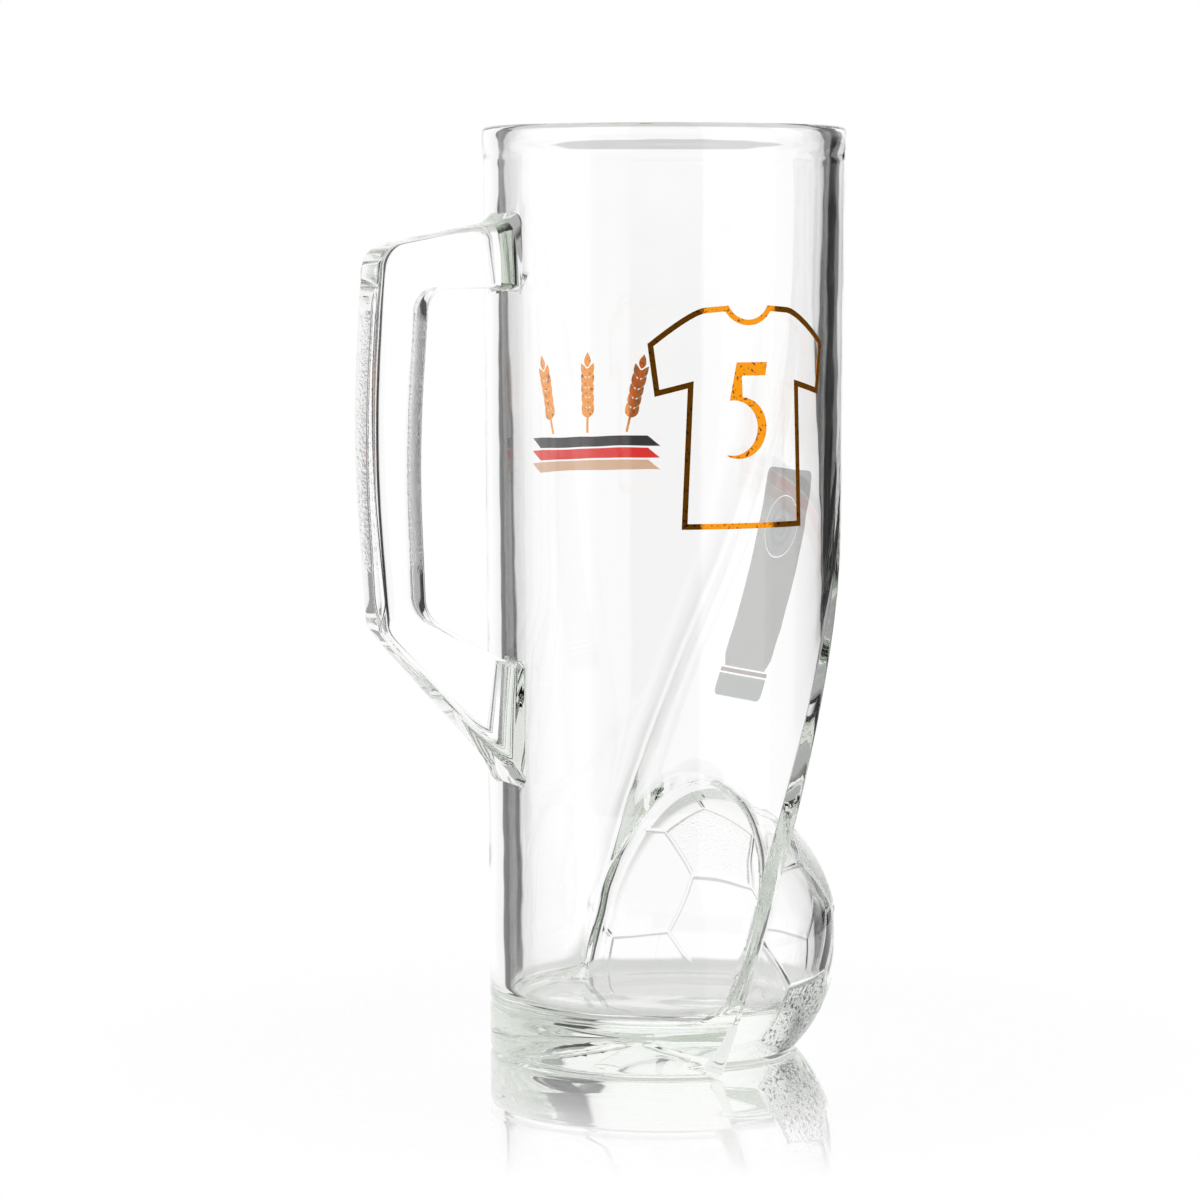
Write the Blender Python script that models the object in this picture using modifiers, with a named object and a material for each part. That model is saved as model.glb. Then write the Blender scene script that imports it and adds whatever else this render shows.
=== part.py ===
"""A tall glass beer mug with a hollow football moulded into its front.

The vessel is one piece of glass: a slightly tapered round tankard, cut in front by a slanted facet
that bares the lower half of the ball, which the drink fills. The handle is a separate piece of glass
fused on at two pads. The prints are thin fired-on films, each its own solid.

Metres, +Z up. The origin is on the body's axis, on the table. The handle points to +X and the ball
to -X, so XZ is the plane of symmetry of the glass.
"""

import math

import bmesh
import bpy
import numpy as np
from mathutils import Matrix

# Body
HEIGHT = 0.1950
RIM_RADIUS = 0.0380
FOOT_RADIUS = 0.0368
WALL = 0.0040
LIP_ROUND = 0.0014
LIP_MOUTH = 0.0006
BEAD_HEIGHT = 0.0057
BEAD_SWELL = 0.0003
BASE_THICKNESS = 0.0105
FLOOR_FILLET = 0.0070
FLOOR_DOME = 0.0012
FOOT_HEIGHT = 0.0105
FOOT_LINE_WIDTH = 0.0010
FOOT_LINE_DEPTH = 0.0004
FOOT_CHAMFER = 0.0008

# Slanted facet in front: straight from the foot up to the bend, then curving into the wall
FACET_SET_BACK = 0.0057
FACET_BEND_HEIGHT = 0.0923
FACET_FIRST_DEPTH = 0.0001
FACET_WALL = 0.0038

# Football
BALL_RADIUS = 0.0336
BALL_INSET = 0.0002
BALL_CUT = 0.0104
BALL_WALL = 0.0030
SEAM_WIDTH = 0.0011
SEAM_DEPTH = 0.0005
BALL_SPIN = math.radians(7.5)
BALL_TILT = math.radians(6.0)
BALL_TILT_TOWARD = math.radians(29.0)

# Handle, measured down from the rim and out from the body's wall
ARM_TOP_DROP = 0.0194
ARM_FALL = 0.0057
ARM_DEPTH = 0.0141
HANDLE_REACH = 0.0327
GRIP_DEPTH = 0.0112
GRIP_WIDTH = 0.0124
GRIP_LENGTH = 0.0780
GRIP_BOW_ABOVE = 0.0024
GRIP_BOW_BELOW = 0.0030
LOWER_SEAT_DROP = 0.1345
LOWER_SEAT_DEPTH = 0.0230
EDGE_ROUND = 0.0027
OUTER_CORNER_ROUND = 0.0058
INNER_CORNER_ROUND = 0.0048
LOWER_INNER_ROUND = 0.0070
BOW_RADIUS = 0.2660
PAD_FLARE = 0.0014
PAD_DEEPENING = 0.0014
PAD_LENGTH = 0.0030
PAD_SINK = 0.0021
SEAT_GAP = 0.0003

# Prints
PRINT_GAP = 0.0003
PRINT_THICKNESS = 0.00025
PRINT_SPACING = 0.0004

# Shirt outline and its numeral, on the side wall at +Y
SHIRT_BELOW_RIM = 0.0368
SHIRT_HEIGHT = 0.0453
SHIRT_SHIFT = -0.0010
SHIRT_LINE = 0.00115
SLEEVE_SPAN = 0.0422
CUFF_SPAN = 0.0392
CHEST_WIDTH = 0.0258
HEM_WIDTH = 0.0280
SHOULDER_WIDTH = 0.0185
NECK_WIDTH = 0.0090
NECK_DIP = 0.0029
SHOULDER_DROP = 0.0004
SHOULDER_BULGE_DROP = 0.0035
SLEEVE_DROP = 0.0077
CUFF_DROP = 0.0184
ARMPIT_DROP = 0.0167
NUMERAL_HEIGHT = 0.0186
NUMERAL_WIDTH = 0.0088
NUMERAL_STROKE = 0.0021
NUMERAL_FLAG_HEIGHT = 0.0027
NUMERAL_FLAG_SLANT = 0.0004
NUMERAL_STEM_LEFT = 0.0018
NUMERAL_STEM_WIDTH = 0.0011
NUMERAL_BOWL_RADIUS = 0.0063
NUMERAL_BOWL_RISE = 0.0058
NUMERAL_BOWL_THINNING = 0.0007
NUMERAL_BELOW_SHIRT_TOP = 0.0115

# Brewing ornament on the side wall at -Y: three ears of barley over three plain stripes
STRIPE_BELOW_RIM = 0.0666
STRIPE_HEIGHT = 0.0022
STRIPE_LENGTH = 0.0360
STRIPE_SLANT = 0.0030
EAR_LENGTH = 0.0176
EAR_HALF_WIDTH = 0.0020
EAR_STEM = 0.0042
EAR_STEM_HALF_WIDTH = 0.0004
GRAIN_BASE_HALF_WIDTH = 0.0017
GRAIN_NOTCH_HALF_WIDTH = 0.0009
EAR_SPACING = 0.0100
EAR_LEAN = math.radians(14.0)

# Label on the facet
LABEL_TOP = 0.1220
LABEL_BOTTOM = 0.0730
LABEL_WIDTH = 0.0190
LABEL_ROUND = 0.0015
LABEL_SQUARE_ROUND = 0.00015
LABEL_BAND_HEIGHT = 0.0046
LABEL_RULE_HEIGHT = 0.0008
ROUNDEL_RADIUS = 0.0065
ROUNDEL_BELOW_TOP = 0.0124

# Counts, facets of the round surfaces, and how far cutters run past what they cut
GRAINS = 5
TURN_STEPS = 80
HOLLOW_STEPS = 40
FACET_STEPS = 14
ARC_STEPS = 6
EDGE_STEPS = 4
RUN_STEPS = 10
BOWL_STEPS = 16
ROUNDEL_STEPS = 24
SEAM_STEPS = 3
PANEL_RINGS = (0.66, 0.50)
SHARP_ANGLE = math.radians(30.0)
MERGE_DISTANCE = 0.00001
OVERSHOOT = 0.0200


def material(name, colour, roughness, metallic=0.0, transmission=0.0):
    """A Principled material with one plain finish."""
    made = bpy.data.materials.new(name)
    made.use_nodes = True
    shader = made.node_tree.nodes["Principled BSDF"]
    shader.inputs["Base Color"].default_value = (*colour, 1.0)
    shader.inputs["Roughness"].default_value = roughness
    shader.inputs["Metallic"].default_value = metallic
    shader.inputs["Transmission Weight"].default_value = transmission
    made.diffuse_color = (*colour, 1.0)
    return made


def collection(name):
    made = bpy.data.collections.new(name)
    bpy.context.scene.collection.children.link(made)
    return made


def add_object(name, mesh, where, finish=None):
    """An object in the collection `where`; without a finish it is a cutter that no render shows."""
    made = bpy.data.objects.new(name, mesh)
    where.objects.link(made)
    if finish is None:
        made.hide_render = True
        made.display_type = "WIRE"
    else:
        mesh.materials.append(finish)
    return made


def boolean(target, other, operation):
    cut = target.modifiers.new(operation.lower() + "_" + other.name, "BOOLEAN")
    cut.object = other
    cut.operation = operation
    cut.solver = "EXACT"
    return cut


def arc(centre, radius, start, end, steps=ARC_STEPS):
    """Points on an arc in a plane, from angle start to angle end in degrees, both ends included."""
    angle = np.radians(np.linspace(start, end, steps + 1))
    return np.stack([centre[0] + radius * np.cos(angle), centre[1] + radius * np.sin(angle)], axis=1)


def turned(name, profile, where, finish=None, closed=False):
    """A solid of revolution about Z from (radius, height) points that run down its outer side."""
    mesh = bpy.data.meshes.new(name)
    count = len(profile)
    edges = [(i, i + 1) for i in range(count - 1)]
    if closed:
        edges.append((count - 1, 0))
    mesh.from_pydata([(r, 0.0, z) for r, z in profile], edges, [])
    made = add_object(name, mesh, where, finish)
    screw = made.modifiers.new("turn", "SCREW")
    screw.steps = TURN_STEPS
    screw.render_steps = TURN_STEPS
    screw.use_merge_vertices = True
    screw.merge_threshold = MERGE_DISTANCE
    screw.use_smooth_shade = True
    return made


def prism(name, loops, length, matrix, where, finish=None):
    """A flat outline, with holes as further loops, drawn out by `length` and placed by `matrix`."""
    curve = bpy.data.curves.new(name, "CURVE")
    curve.dimensions = "2D"
    curve.fill_mode = "BOTH"
    curve.extrude = length / 2
    for loop in loops:
        spline = curve.splines.new("POLY")
        spline.points.add(len(loop) - 1)
        flat = np.zeros((len(loop), 4))
        flat[:, :2] = loop
        flat[:, 3] = 1.0
        spline.points.foreach_set("co", flat.ravel())
        spline.use_cyclic_u = True
    drawn = bpy.data.objects.new(name + "_outline", curve)
    bpy.context.scene.collection.objects.link(drawn)
    bpy.context.view_layer.update()
    mesh = bpy.data.meshes.new_from_object(drawn.evaluated_get(bpy.context.evaluated_depsgraph_get()))
    bpy.data.objects.remove(drawn)
    bpy.data.curves.remove(curve)
    cleaned = bmesh.new()
    cleaned.from_mesh(mesh)
    bmesh.ops.remove_doubles(cleaned, verts=cleaned.verts, dist=MERGE_DISTANCE)
    bmesh.ops.transform(cleaned, matrix=matrix, verts=cleaned.verts)
    bmesh.ops.recalc_face_normals(cleaned, faces=cleaned.faces)
    cleaned.to_mesh(mesh)
    cleaned.free()
    mesh.name = name
    return add_object(name, mesh, where, finish)


def body_radius(z):
    """Outer radius of the round wall, which tapers evenly from the bead down to the foot."""
    return FOOT_RADIUS + (RIM_RADIUS - FOOT_RADIUS) * z / (HEIGHT - BEAD_HEIGHT)


def facet_slope():
    """Rise of the facet's straight part, so that it and its curved lead-in span rim to foot."""
    lead = HEIGHT - BEAD_HEIGHT - FACET_BEND_HEIGHT
    return (RIM_RADIUS + FACET_SET_BACK) / (FACET_BEND_HEIGHT + lead / 3)


def facet_reach(z):
    """Distance from the axis to the facet at height z: a straight slope up to the bend, and above it
    a cubic that starts with the same slope and dies out at the bead."""
    lead = HEIGHT - BEAD_HEIGHT - FACET_BEND_HEIGHT
    slope = facet_slope()
    left = np.clip((HEIGHT - BEAD_HEIGHT - z) / lead, 0.0, 1.0)
    curved = RIM_RADIUS - slope * lead / 3 * left**3
    return np.where(z > FACET_BEND_HEIGHT, curved, slope * z - FACET_SET_BACK)


def facet_heights(bottom, top):
    """Heights along the facet: only the ends of its straight part, and even steps along its curve."""
    bend = min(max(FACET_BEND_HEIGHT, bottom), top)
    return np.concatenate([[bottom], np.linspace(bend, top, FACET_STEPS)])


# In these matrices a flat outline's x and y become the directions named.
ACROSS_Y = Matrix(((1, 0, 0, 0), (0, 0, -1, 0), (0, 1, 0, 0), (0, 0, 0, 1)))
ACROSS_X = Matrix(((0, 0, 1, 0), (1, 0, 0, 0), (0, 1, 0, 0), (0, 0, 0, 1)))


def facet_cutter(name, wall, where):
    """Everything in front of the facet, or of its inner face when a wall thickness is given."""
    start = HEIGHT - BEAD_HEIGHT
    z = facet_heights(-OVERSHOOT, start)
    x = -(facet_reach(z) - FACET_FIRST_DEPTH - wall)
    front = -(RIM_RADIUS + OVERSHOOT)
    loop = np.concatenate([np.stack([x, z], axis=1), [(front, start), (front, -OVERSHOOT)]])
    width = 2 * (RIM_RADIUS + OVERSHOOT)
    return prism(name, [loop], width, ACROSS_Y, where)


def ball_centre():
    """The ball's front is flush with the rim, and the table cuts off its lowest part."""
    return (-(RIM_RADIUS - BALL_INSET - BALL_RADIUS), 0.0, BALL_RADIUS - BALL_CUT)


def block_below(name, height, where):
    """A block that fills everything below a height, to cut a flat underside."""
    depth = BALL_RADIUS + OVERSHOOT
    width = 4 * RIM_RADIUS
    shape = bmesh.new()
    place = Matrix.Translation((0.0, 0.0, height - depth / 2)) @ Matrix.Diagonal((width, width, depth, 1.0))
    bmesh.ops.create_cube(shape, size=1.0, matrix=place)
    mesh = bpy.data.meshes.new(name)
    shape.to_mesh(mesh)
    shape.free()
    return add_object(name, mesh, where)


def football(name, where):
    """A ball of 12 five-sided and 20 six-sided panels: an icosahedron with its corners cut off at a
    third of each edge, rounded onto a sphere, with a V-shaped groove along every seam."""
    shape = bmesh.new()
    bmesh.ops.create_icosphere(shape, subdivisions=1, radius=1.0)
    bmesh.ops.bevel(
        shape, geom=shape.verts[:], offset=100 / 3, offset_type="PERCENT", affect="VERTICES", segments=1
    )
    bmesh.ops.subdivide_edges(shape, edges=shape.edges[:], cuts=SEAM_STEPS)
    for vert in shape.verts:
        vert.co.normalize()
    seam = shape.verts[:]
    panels = shape.faces[:]
    bmesh.ops.inset_individual(
        shape, faces=panels, thickness=SEAM_WIDTH / 2 / BALL_RADIUS, use_even_offset=True
    )
    for shrink in PANEL_RINGS:
        bmesh.ops.inset_individual(shape, faces=panels, thickness=0.0)
        for panel in panels:
            middle = panel.calc_center_median()
            for vert in panel.verts:
                vert.co = middle.lerp(vert.co, shrink)
    bmesh.ops.poke(shape, faces=panels)
    for vert in shape.verts:
        vert.co = vert.co.normalized() * BALL_RADIUS
    for vert in seam:
        vert.co = vert.co.normalized() * (BALL_RADIUS - SEAM_DEPTH)
    side = (-math.sin(BALL_TILT_TOWARD), math.cos(BALL_TILT_TOWARD), 0.0)
    turn = Matrix.Rotation(BALL_TILT, 4, side) @ Matrix.Rotation(BALL_SPIN, 4, "Z")
    bmesh.ops.transform(shape, matrix=Matrix.Translation(ball_centre()) @ turn, verts=shape.verts)
    bmesh.ops.triangulate(shape, faces=shape.faces[:])
    mesh = bpy.data.meshes.new(name)
    shape.to_mesh(mesh)
    shape.free()
    mesh.shade_smooth()
    mesh.set_sharp_from_angle(angle=SHARP_ANGLE)
    return add_object(name, mesh, where)


def ball_hollow(name, where):
    """The space inside the ball, flat where the base is."""
    shape = bmesh.new()
    radius = BALL_RADIUS - BALL_WALL
    bmesh.ops.create_uvsphere(shape, u_segments=HOLLOW_STEPS, v_segments=HOLLOW_STEPS // 2, radius=radius)
    bmesh.ops.translate(shape, vec=ball_centre(), verts=shape.verts)
    mesh = bpy.data.meshes.new(name)
    shape.to_mesh(mesh)
    shape.free()
    hollow = add_object(name, mesh, where)
    boolean(hollow, block_below("ball_floor", BASE_THICKNESS, where), "DIFFERENCE")
    return hollow


def body_profile():
    """Down the outside: rounded lip, bead, tapered wall, fine line above the foot, chamfered edge."""
    bead = RIM_RADIUS + BEAD_SWELL
    bead_end = HEIGHT - BEAD_HEIGHT
    line_top = FOOT_HEIGHT + FOOT_LINE_WIDTH / 2
    line_bottom = FOOT_HEIGHT - FOOT_LINE_WIDTH / 2
    return [
        (0.0, HEIGHT),
        *arc((bead - LIP_ROUND, HEIGHT - LIP_ROUND), LIP_ROUND, 90, 0),
        (bead, bead_end + BEAD_HEIGHT / 3),
        (body_radius(bead_end), bead_end),
        (body_radius(line_top), line_top),
        (body_radius(FOOT_HEIGHT) - FOOT_LINE_DEPTH, FOOT_HEIGHT),
        (body_radius(line_bottom), line_bottom),
        (body_radius(FOOT_CHAMFER), FOOT_CHAMFER),
        (body_radius(0.0) - FOOT_CHAMFER, 0.0),
        (body_radius(0.0) - FOOT_CHAMFER, -OVERSHOOT),
        (0.0, -OVERSHOOT),
    ]


def cavity_profile():
    """Down the inside wall: rounded lip, tapered wall, fillet, floor rising a little to its middle.
    LIP_MOUTH is how far inside the top of the lip's round the mouth opens straight up."""
    mouth = body_radius(HEIGHT - LIP_ROUND) - WALL
    fillet_top = BASE_THICKNESS + FLOOR_FILLET
    corner = (body_radius(fillet_top) - WALL - FLOOR_FILLET, fillet_top)
    opening = math.degrees(math.acos(-LIP_MOUTH / LIP_ROUND))
    lip = arc((mouth + LIP_ROUND, HEIGHT - LIP_ROUND), LIP_ROUND, opening, 180)
    return [
        (0.0, HEIGHT + OVERSHOOT),
        (lip[0][0], HEIGHT + OVERSHOOT),
        *lip,
        *arc(corner, FLOOR_FILLET, 0, -90),
        (0.0, BASE_THICKNESS + FLOOR_DOME),
    ]


def make_vessel(parts, cutters, finish):
    """The tankard, its facet, its football and the one hollow that runs through both."""
    vessel = turned("vessel", body_profile(), parts, finish)
    boolean(vessel, facet_cutter("facet_outer", 0.0, cutters), "DIFFERENCE")
    boolean(vessel, football("ball_outer", cutters), "UNION")
    cavity = turned("cavity", cavity_profile(), cutters)
    boolean(cavity, facet_cutter("facet_inner", FACET_WALL, cutters), "DIFFERENCE")
    boolean(cavity, ball_hollow("ball_hollow", cutters), "UNION")
    boolean(vessel, cavity, "DIFFERENCE")
    boolean(vessel, block_below("table", 0.0, cutters), "DIFFERENCE")


def rounded_line(points, radii):
    """Points along a line of straight runs whose inner corners are rounded by the given radii."""
    points = [np.array(p) for p in points]
    runs = []
    start = points[0]
    for before, corner, after, radius in zip(points, points[1:], points[2:], radii):
        come = (corner - before) / np.linalg.norm(corner - before)
        go = (after - corner) / np.linalg.norm(after - corner)
        half_turn = math.acos(np.clip(come @ go, -1.0, 1.0)) / 2
        reach = radius * math.tan(half_turn)
        inward = (go - come) / np.linalg.norm(go - come)
        centre = corner + inward * radius / math.cos(half_turn)
        entry = corner - come * reach
        share = np.linspace(0.0, 1.0, RUN_STEPS, endpoint=False)[:, None]
        runs.append(start + (entry - start) * share)
        swing = np.linspace(-half_turn, half_turn, ARC_STEPS, endpoint=False)[:, None]
        along = (come + go) / np.linalg.norm(come + go)
        runs.append(centre - inward * radius * np.cos(swing) + along * radius * np.sin(swing))
        start = corner + go * reach
    share = np.linspace(0.0, 1.0, RUN_STEPS + 1)[:, None]
    runs.append(start + (points[-1] - start) * share)
    return np.concatenate(runs)


def handle_outlines():
    """The handle's outer and inner outlines in XZ, as many points on each.

    Both start and end inside the wall. The arm falls a little from the body to its outer corner, the
    grip bows outwards, and the lower arm runs back at a slant and deepens towards its seat."""
    seat = body_radius(HEIGHT / 2)
    sunk = seat - PAD_SINK
    arm_top = HEIGHT - ARM_TOP_DROP
    grip_x = seat + HANDLE_REACH
    grip_top = grip_x - GRIP_BOW_ABOVE
    grip_low = grip_x - GRIP_BOW_BELOW
    corner_z = arm_top - ARM_FALL
    low_z = corner_z - GRIP_LENGTH
    foot_z = HEIGHT - LOWER_SEAT_DROP
    arm_slope = ARM_FALL / (grip_top - seat)
    low_slope = (low_z - foot_z) / (grip_low - seat)
    outer = [
        (sunk, arm_top + arm_slope * PAD_SINK),
        (grip_top, corner_z),
        (grip_x, (corner_z + low_z) / 2),
        (grip_low, low_z),
        (sunk, foot_z - low_slope * PAD_SINK),
    ]
    under = arm_top - ARM_DEPTH
    inner_x = grip_x - GRIP_DEPTH
    inner_end = inner_x - GRIP_BOW_BELOW / 2
    inner_low = low_z + GRIP_DEPTH / 4
    inner_foot = foot_z + LOWER_SEAT_DEPTH
    inner_slope = (inner_low - inner_foot) / (inner_end - seat)
    inner = [
        (sunk, under),
        (grip_top - GRIP_DEPTH, under),
        (inner_x, (under + inner_low) / 2),
        (inner_end, inner_low),
        (sunk, inner_foot - inner_slope * PAD_SINK),
    ]
    outside = rounded_line(outer, [OUTER_CORNER_ROUND, BOW_RADIUS, OUTER_CORNER_ROUND])
    inside = rounded_line(inner, [INNER_CORNER_ROUND, BOW_RADIUS, LOWER_INNER_ROUND])
    return outside, inside


def make_handle(parts, cutters, finish):
    """A loft of rounded oblongs set between the two outlines, flared where it meets the wall, with
    its ends cut to the wall's round."""
    outside, inside = handle_outlines()
    middle = (outside + inside) / 2
    across = outside - inside
    depth = np.linalg.norm(across, axis=1)
    across = across / depth[:, None]
    clear = middle[:, 0] - body_radius(HEIGHT / 2)
    flare = np.clip(1.0 - clear / PAD_LENGTH, 0.0, 1.0) ** 2
    half_depth = depth / 2 + flare * PAD_DEEPENING
    half_width = GRIP_WIDTH / 2 + flare * PAD_FLARE
    corner = np.concatenate([arc((0, 0), 1.0, a, a + 90, EDGE_STEPS) for a in (0, 90, 180, 270)])
    lean = np.repeat([(1, 1), (-1, 1), (-1, -1), (1, -1)], EDGE_STEPS + 1, axis=0)
    out = EDGE_ROUND * corner[None, :, 0] + lean[None, :, 0] * (half_depth[:, None] - EDGE_ROUND)
    side = EDGE_ROUND * corner[None, :, 1] + lean[None, :, 1] * (half_width[:, None] - EDGE_ROUND)
    x = middle[:, None, 0] + across[:, None, 0] * out
    z = middle[:, None, 1] + across[:, None, 1] * out
    rings, points = x.shape
    shape = bmesh.new()
    verts = [shape.verts.new(p) for p in np.stack([x, side, z], axis=2).reshape(-1, 3)]
    for ring in range(rings - 1):
        for point in range(points):
            after = (point + 1) % points
            shape.faces.new(
                [
                    verts[ring * points + point],
                    verts[ring * points + after],
                    verts[(ring + 1) * points + after],
                    verts[(ring + 1) * points + point],
                ]
            )
    shape.faces.new(verts[:points])
    shape.faces.new(verts[-points:])
    bmesh.ops.recalc_face_normals(shape, faces=shape.faces)
    mesh = bpy.data.meshes.new("handle")
    shape.to_mesh(mesh)
    shape.free()
    mesh.shade_smooth()
    mesh.set_sharp_from_angle(angle=SHARP_ANGLE)
    handle = add_object("handle", mesh, parts, finish)
    seat = [
        (0.0, HEIGHT),
        (body_radius(HEIGHT) + SEAT_GAP, HEIGHT),
        (body_radius(0.0) + SEAT_GAP, 0.0),
        (0.0, 0.0),
    ]
    boolean(handle, turned("handle_seat", seat, cutters), "DIFFERENCE")


def inset(loop, width):
    """A closed outline moved inwards by a width, corner by corner along each corner's bisector."""
    loop = np.asarray(loop)
    come = loop - np.roll(loop, 1, axis=0)
    go = np.roll(loop, -1, axis=0) - loop
    come = come / np.linalg.norm(come, axis=1)[:, None]
    go = go / np.linalg.norm(go, axis=1)[:, None]
    left_come = np.stack([-come[:, 1], come[:, 0]], axis=1)
    left_go = np.stack([-go[:, 1], go[:, 0]], axis=1)
    bisector = left_come + left_go
    bisector = bisector / (1.0 + (left_come * left_go).sum(axis=1))[:, None]
    return loop + bisector * width


def wrapped(loop):
    """An outline measured along the round wall, as it looks from straight in front."""
    loop = np.array(loop, dtype=float)
    radius = body_radius(loop[:, 1]) + PRINT_GAP
    loop[:, 0] = radius * np.sin(loop[:, 0] / radius)
    return loop


def side_print(name, loops, side, shells, parts, finish):
    """A film on the round wall, its outline as seen from outside at +Y (side 1) or -Y (side -1), drawn
    out through the wall's print layer."""
    facing = Matrix.Diagonal((-side, 1, 1, 1))
    place = Matrix.Translation((0.0, side * RIM_RADIUS, 0.0)) @ facing @ ACROSS_Y
    film = prism(name, [wrapped(loop) for loop in loops], RIM_RADIUS, place, parts, finish)
    boolean(film, shells["wall"], "INTERSECT")


def label_print(name, loops, shells, parts, finish):
    """A film on the facet: its outline, across and up, drawn out through the facet's print layer."""
    place = Matrix.Translation((-RIM_RADIUS, 0.0, 0.0)) @ ACROSS_X
    film = prism(name, loops, 2 * RIM_RADIUS, place, parts, finish)
    boolean(film, shells["facet"], "INTERSECT")


def print_layers(cutters):
    """The thin layers that the films lie in: one round the wall and one over the facet."""
    near = PRINT_GAP
    far = PRINT_GAP + PRINT_THICKNESS
    top = HEIGHT - BEAD_HEIGHT
    ring = [
        (body_radius(top) + far, top),
        (body_radius(0.0) + far, 0.0),
        (body_radius(0.0) + near, 0.0),
        (body_radius(top) + near, top),
    ]
    z = facet_heights(0.0, top)
    x = -(facet_reach(z) - FACET_FIRST_DEPTH)
    front = np.stack([x - far, z], axis=1)
    back = np.stack([x - near, z], axis=1)
    return {
        "wall": turned("wall_print_layer", ring, cutters, closed=True),
        "facet": prism(
            "facet_print_layer", [np.concatenate([front, back[::-1]])], 2 * RIM_RADIUS, ACROSS_Y, cutters
        ),
    }


def shirt_outline():
    """A plain football shirt, counter-clockwise, as (along the wall, height) points."""
    top = HEIGHT - SHIRT_BELOW_RIM
    bottom = top - SHIRT_HEIGHT
    neck_radius = ((NECK_WIDTH / 2) ** 2 + NECK_DIP**2) / (2 * NECK_DIP)
    neck_turn = math.degrees(math.asin(NECK_WIDTH / 2 / neck_radius))
    neck = arc((0.0, top - NECK_DIP + neck_radius), neck_radius, -90 + neck_turn, -90 - neck_turn)
    right = [
        (HEM_WIDTH / 2, bottom),
        (CHEST_WIDTH / 2, top - ARMPIT_DROP),
        (CUFF_SPAN / 2, top - CUFF_DROP),
        (SLEEVE_SPAN / 2, top - SLEEVE_DROP),
        ((SHOULDER_WIDTH + SLEEVE_SPAN) / 4, top - SHOULDER_BULGE_DROP),
        (SHOULDER_WIDTH / 2, top - SHOULDER_DROP),
    ]
    left = [(-x, z) for x, z in reversed(right)]
    loop = np.array([*right, *neck, *left])
    loop[:, 0] += SHIRT_SHIFT
    return loop


def numeral_outline():
    """A plain 5: a flag on a leaning stem, over a bowl that is a crescent between two circles."""
    right = NUMERAL_WIDTH - NUMERAL_BOWL_RADIUS
    inner_radius = NUMERAL_BOWL_RADIUS - NUMERAL_BOWL_THINNING
    inner_right = NUMERAL_WIDTH - NUMERAL_STROKE - inner_radius
    flag_bottom = NUMERAL_HEIGHT - NUMERAL_FLAG_HEIGHT
    loop = np.concatenate(
        [
            arc((right, NUMERAL_BOWL_RISE), NUMERAL_BOWL_RADIUS, -114, 84, BOWL_STEPS),
            [
                (NUMERAL_STEM_LEFT + NUMERAL_STEM_WIDTH, flag_bottom),
                (NUMERAL_WIDTH - NUMERAL_FLAG_SLANT, flag_bottom),
                (NUMERAL_WIDTH, NUMERAL_HEIGHT),
                (NUMERAL_STEM_LEFT, NUMERAL_HEIGHT),
            ],
            arc((inner_right, NUMERAL_BOWL_RISE), inner_radius, 98, -102, BOWL_STEPS),
        ]
    )
    bottom = HEIGHT - SHIRT_BELOW_RIM - NUMERAL_BELOW_SHIRT_TOP - NUMERAL_HEIGHT
    return loop + (SHIRT_SHIFT - NUMERAL_WIDTH / 2, bottom)


def ear_outline(place, height):
    """An ear of barley: a stem, then pairs of grains whose edges swell and step in, and a tip."""
    grain = (EAR_LENGTH - EAR_STEM) / (GRAINS + 1)
    right = [(EAR_STEM_HALF_WIDTH, 0.0), (EAR_STEM_HALF_WIDTH, EAR_STEM)]
    for step in range(GRAINS):
        base = EAR_STEM + step * grain
        right.append((GRAIN_BASE_HALF_WIDTH, base + grain / 3))
        right.append((EAR_HALF_WIDTH, base + grain))
        right.append((GRAIN_NOTCH_HALF_WIDTH, base + grain))
    left = [(-x, z) for x, z in reversed(right)]
    loop = np.array([*right, (0.0, EAR_LENGTH), *left])
    lean = -EAR_LEAN * place
    turn = np.array([(math.cos(lean), math.sin(lean)), (-math.sin(lean), math.cos(lean))])
    return loop @ turn + (place * EAR_SPACING, height)


def make_shirt(shells, parts, gold):
    loop = shirt_outline()
    side_print("shirt_outline", [loop, inset(loop, SHIRT_LINE)], 1, shells, parts, gold)
    side_print("shirt_numeral", [numeral_outline()], 1, shells, parts, gold)


def make_ornament(shells, parts, gold, colours):
    """Three slanted stripes one above the other, and the ears standing over them."""
    top = HEIGHT - STRIPE_BELOW_RIM
    for row, (name, finish) in enumerate(colours.items()):
        high = top - row * (STRIPE_HEIGHT + PRINT_SPACING)
        low = high - STRIPE_HEIGHT
        half = STRIPE_LENGTH / 2
        loop = [(-half, low), (half - STRIPE_SLANT, low), (half, high), (-half + STRIPE_SLANT, high)]
        side_print(name, [loop], -1, shells, parts, finish)
    for name, place in (("left", -1), ("centre", 0), ("right", 1)):
        ear = ear_outline(place, top + 2 * PRINT_SPACING)
        side_print("barley_ear_" + name, [ear], -1, shells, parts, gold)


def oblong(bottom, top, low_round, high_round):
    """A rectangle of the label's width whose lower and upper corners are rounded by two radii."""
    half = LABEL_WIDTH / 2
    return np.concatenate(
        [
            arc((half - low_round, bottom + low_round), low_round, -90, 0),
            arc((half - high_round, top - high_round), high_round, 0, 90),
            arc((-half + high_round, top - high_round), high_round, 90, 180),
            arc((-half + low_round, bottom + low_round), low_round, 180, 270),
        ]
    )


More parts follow.
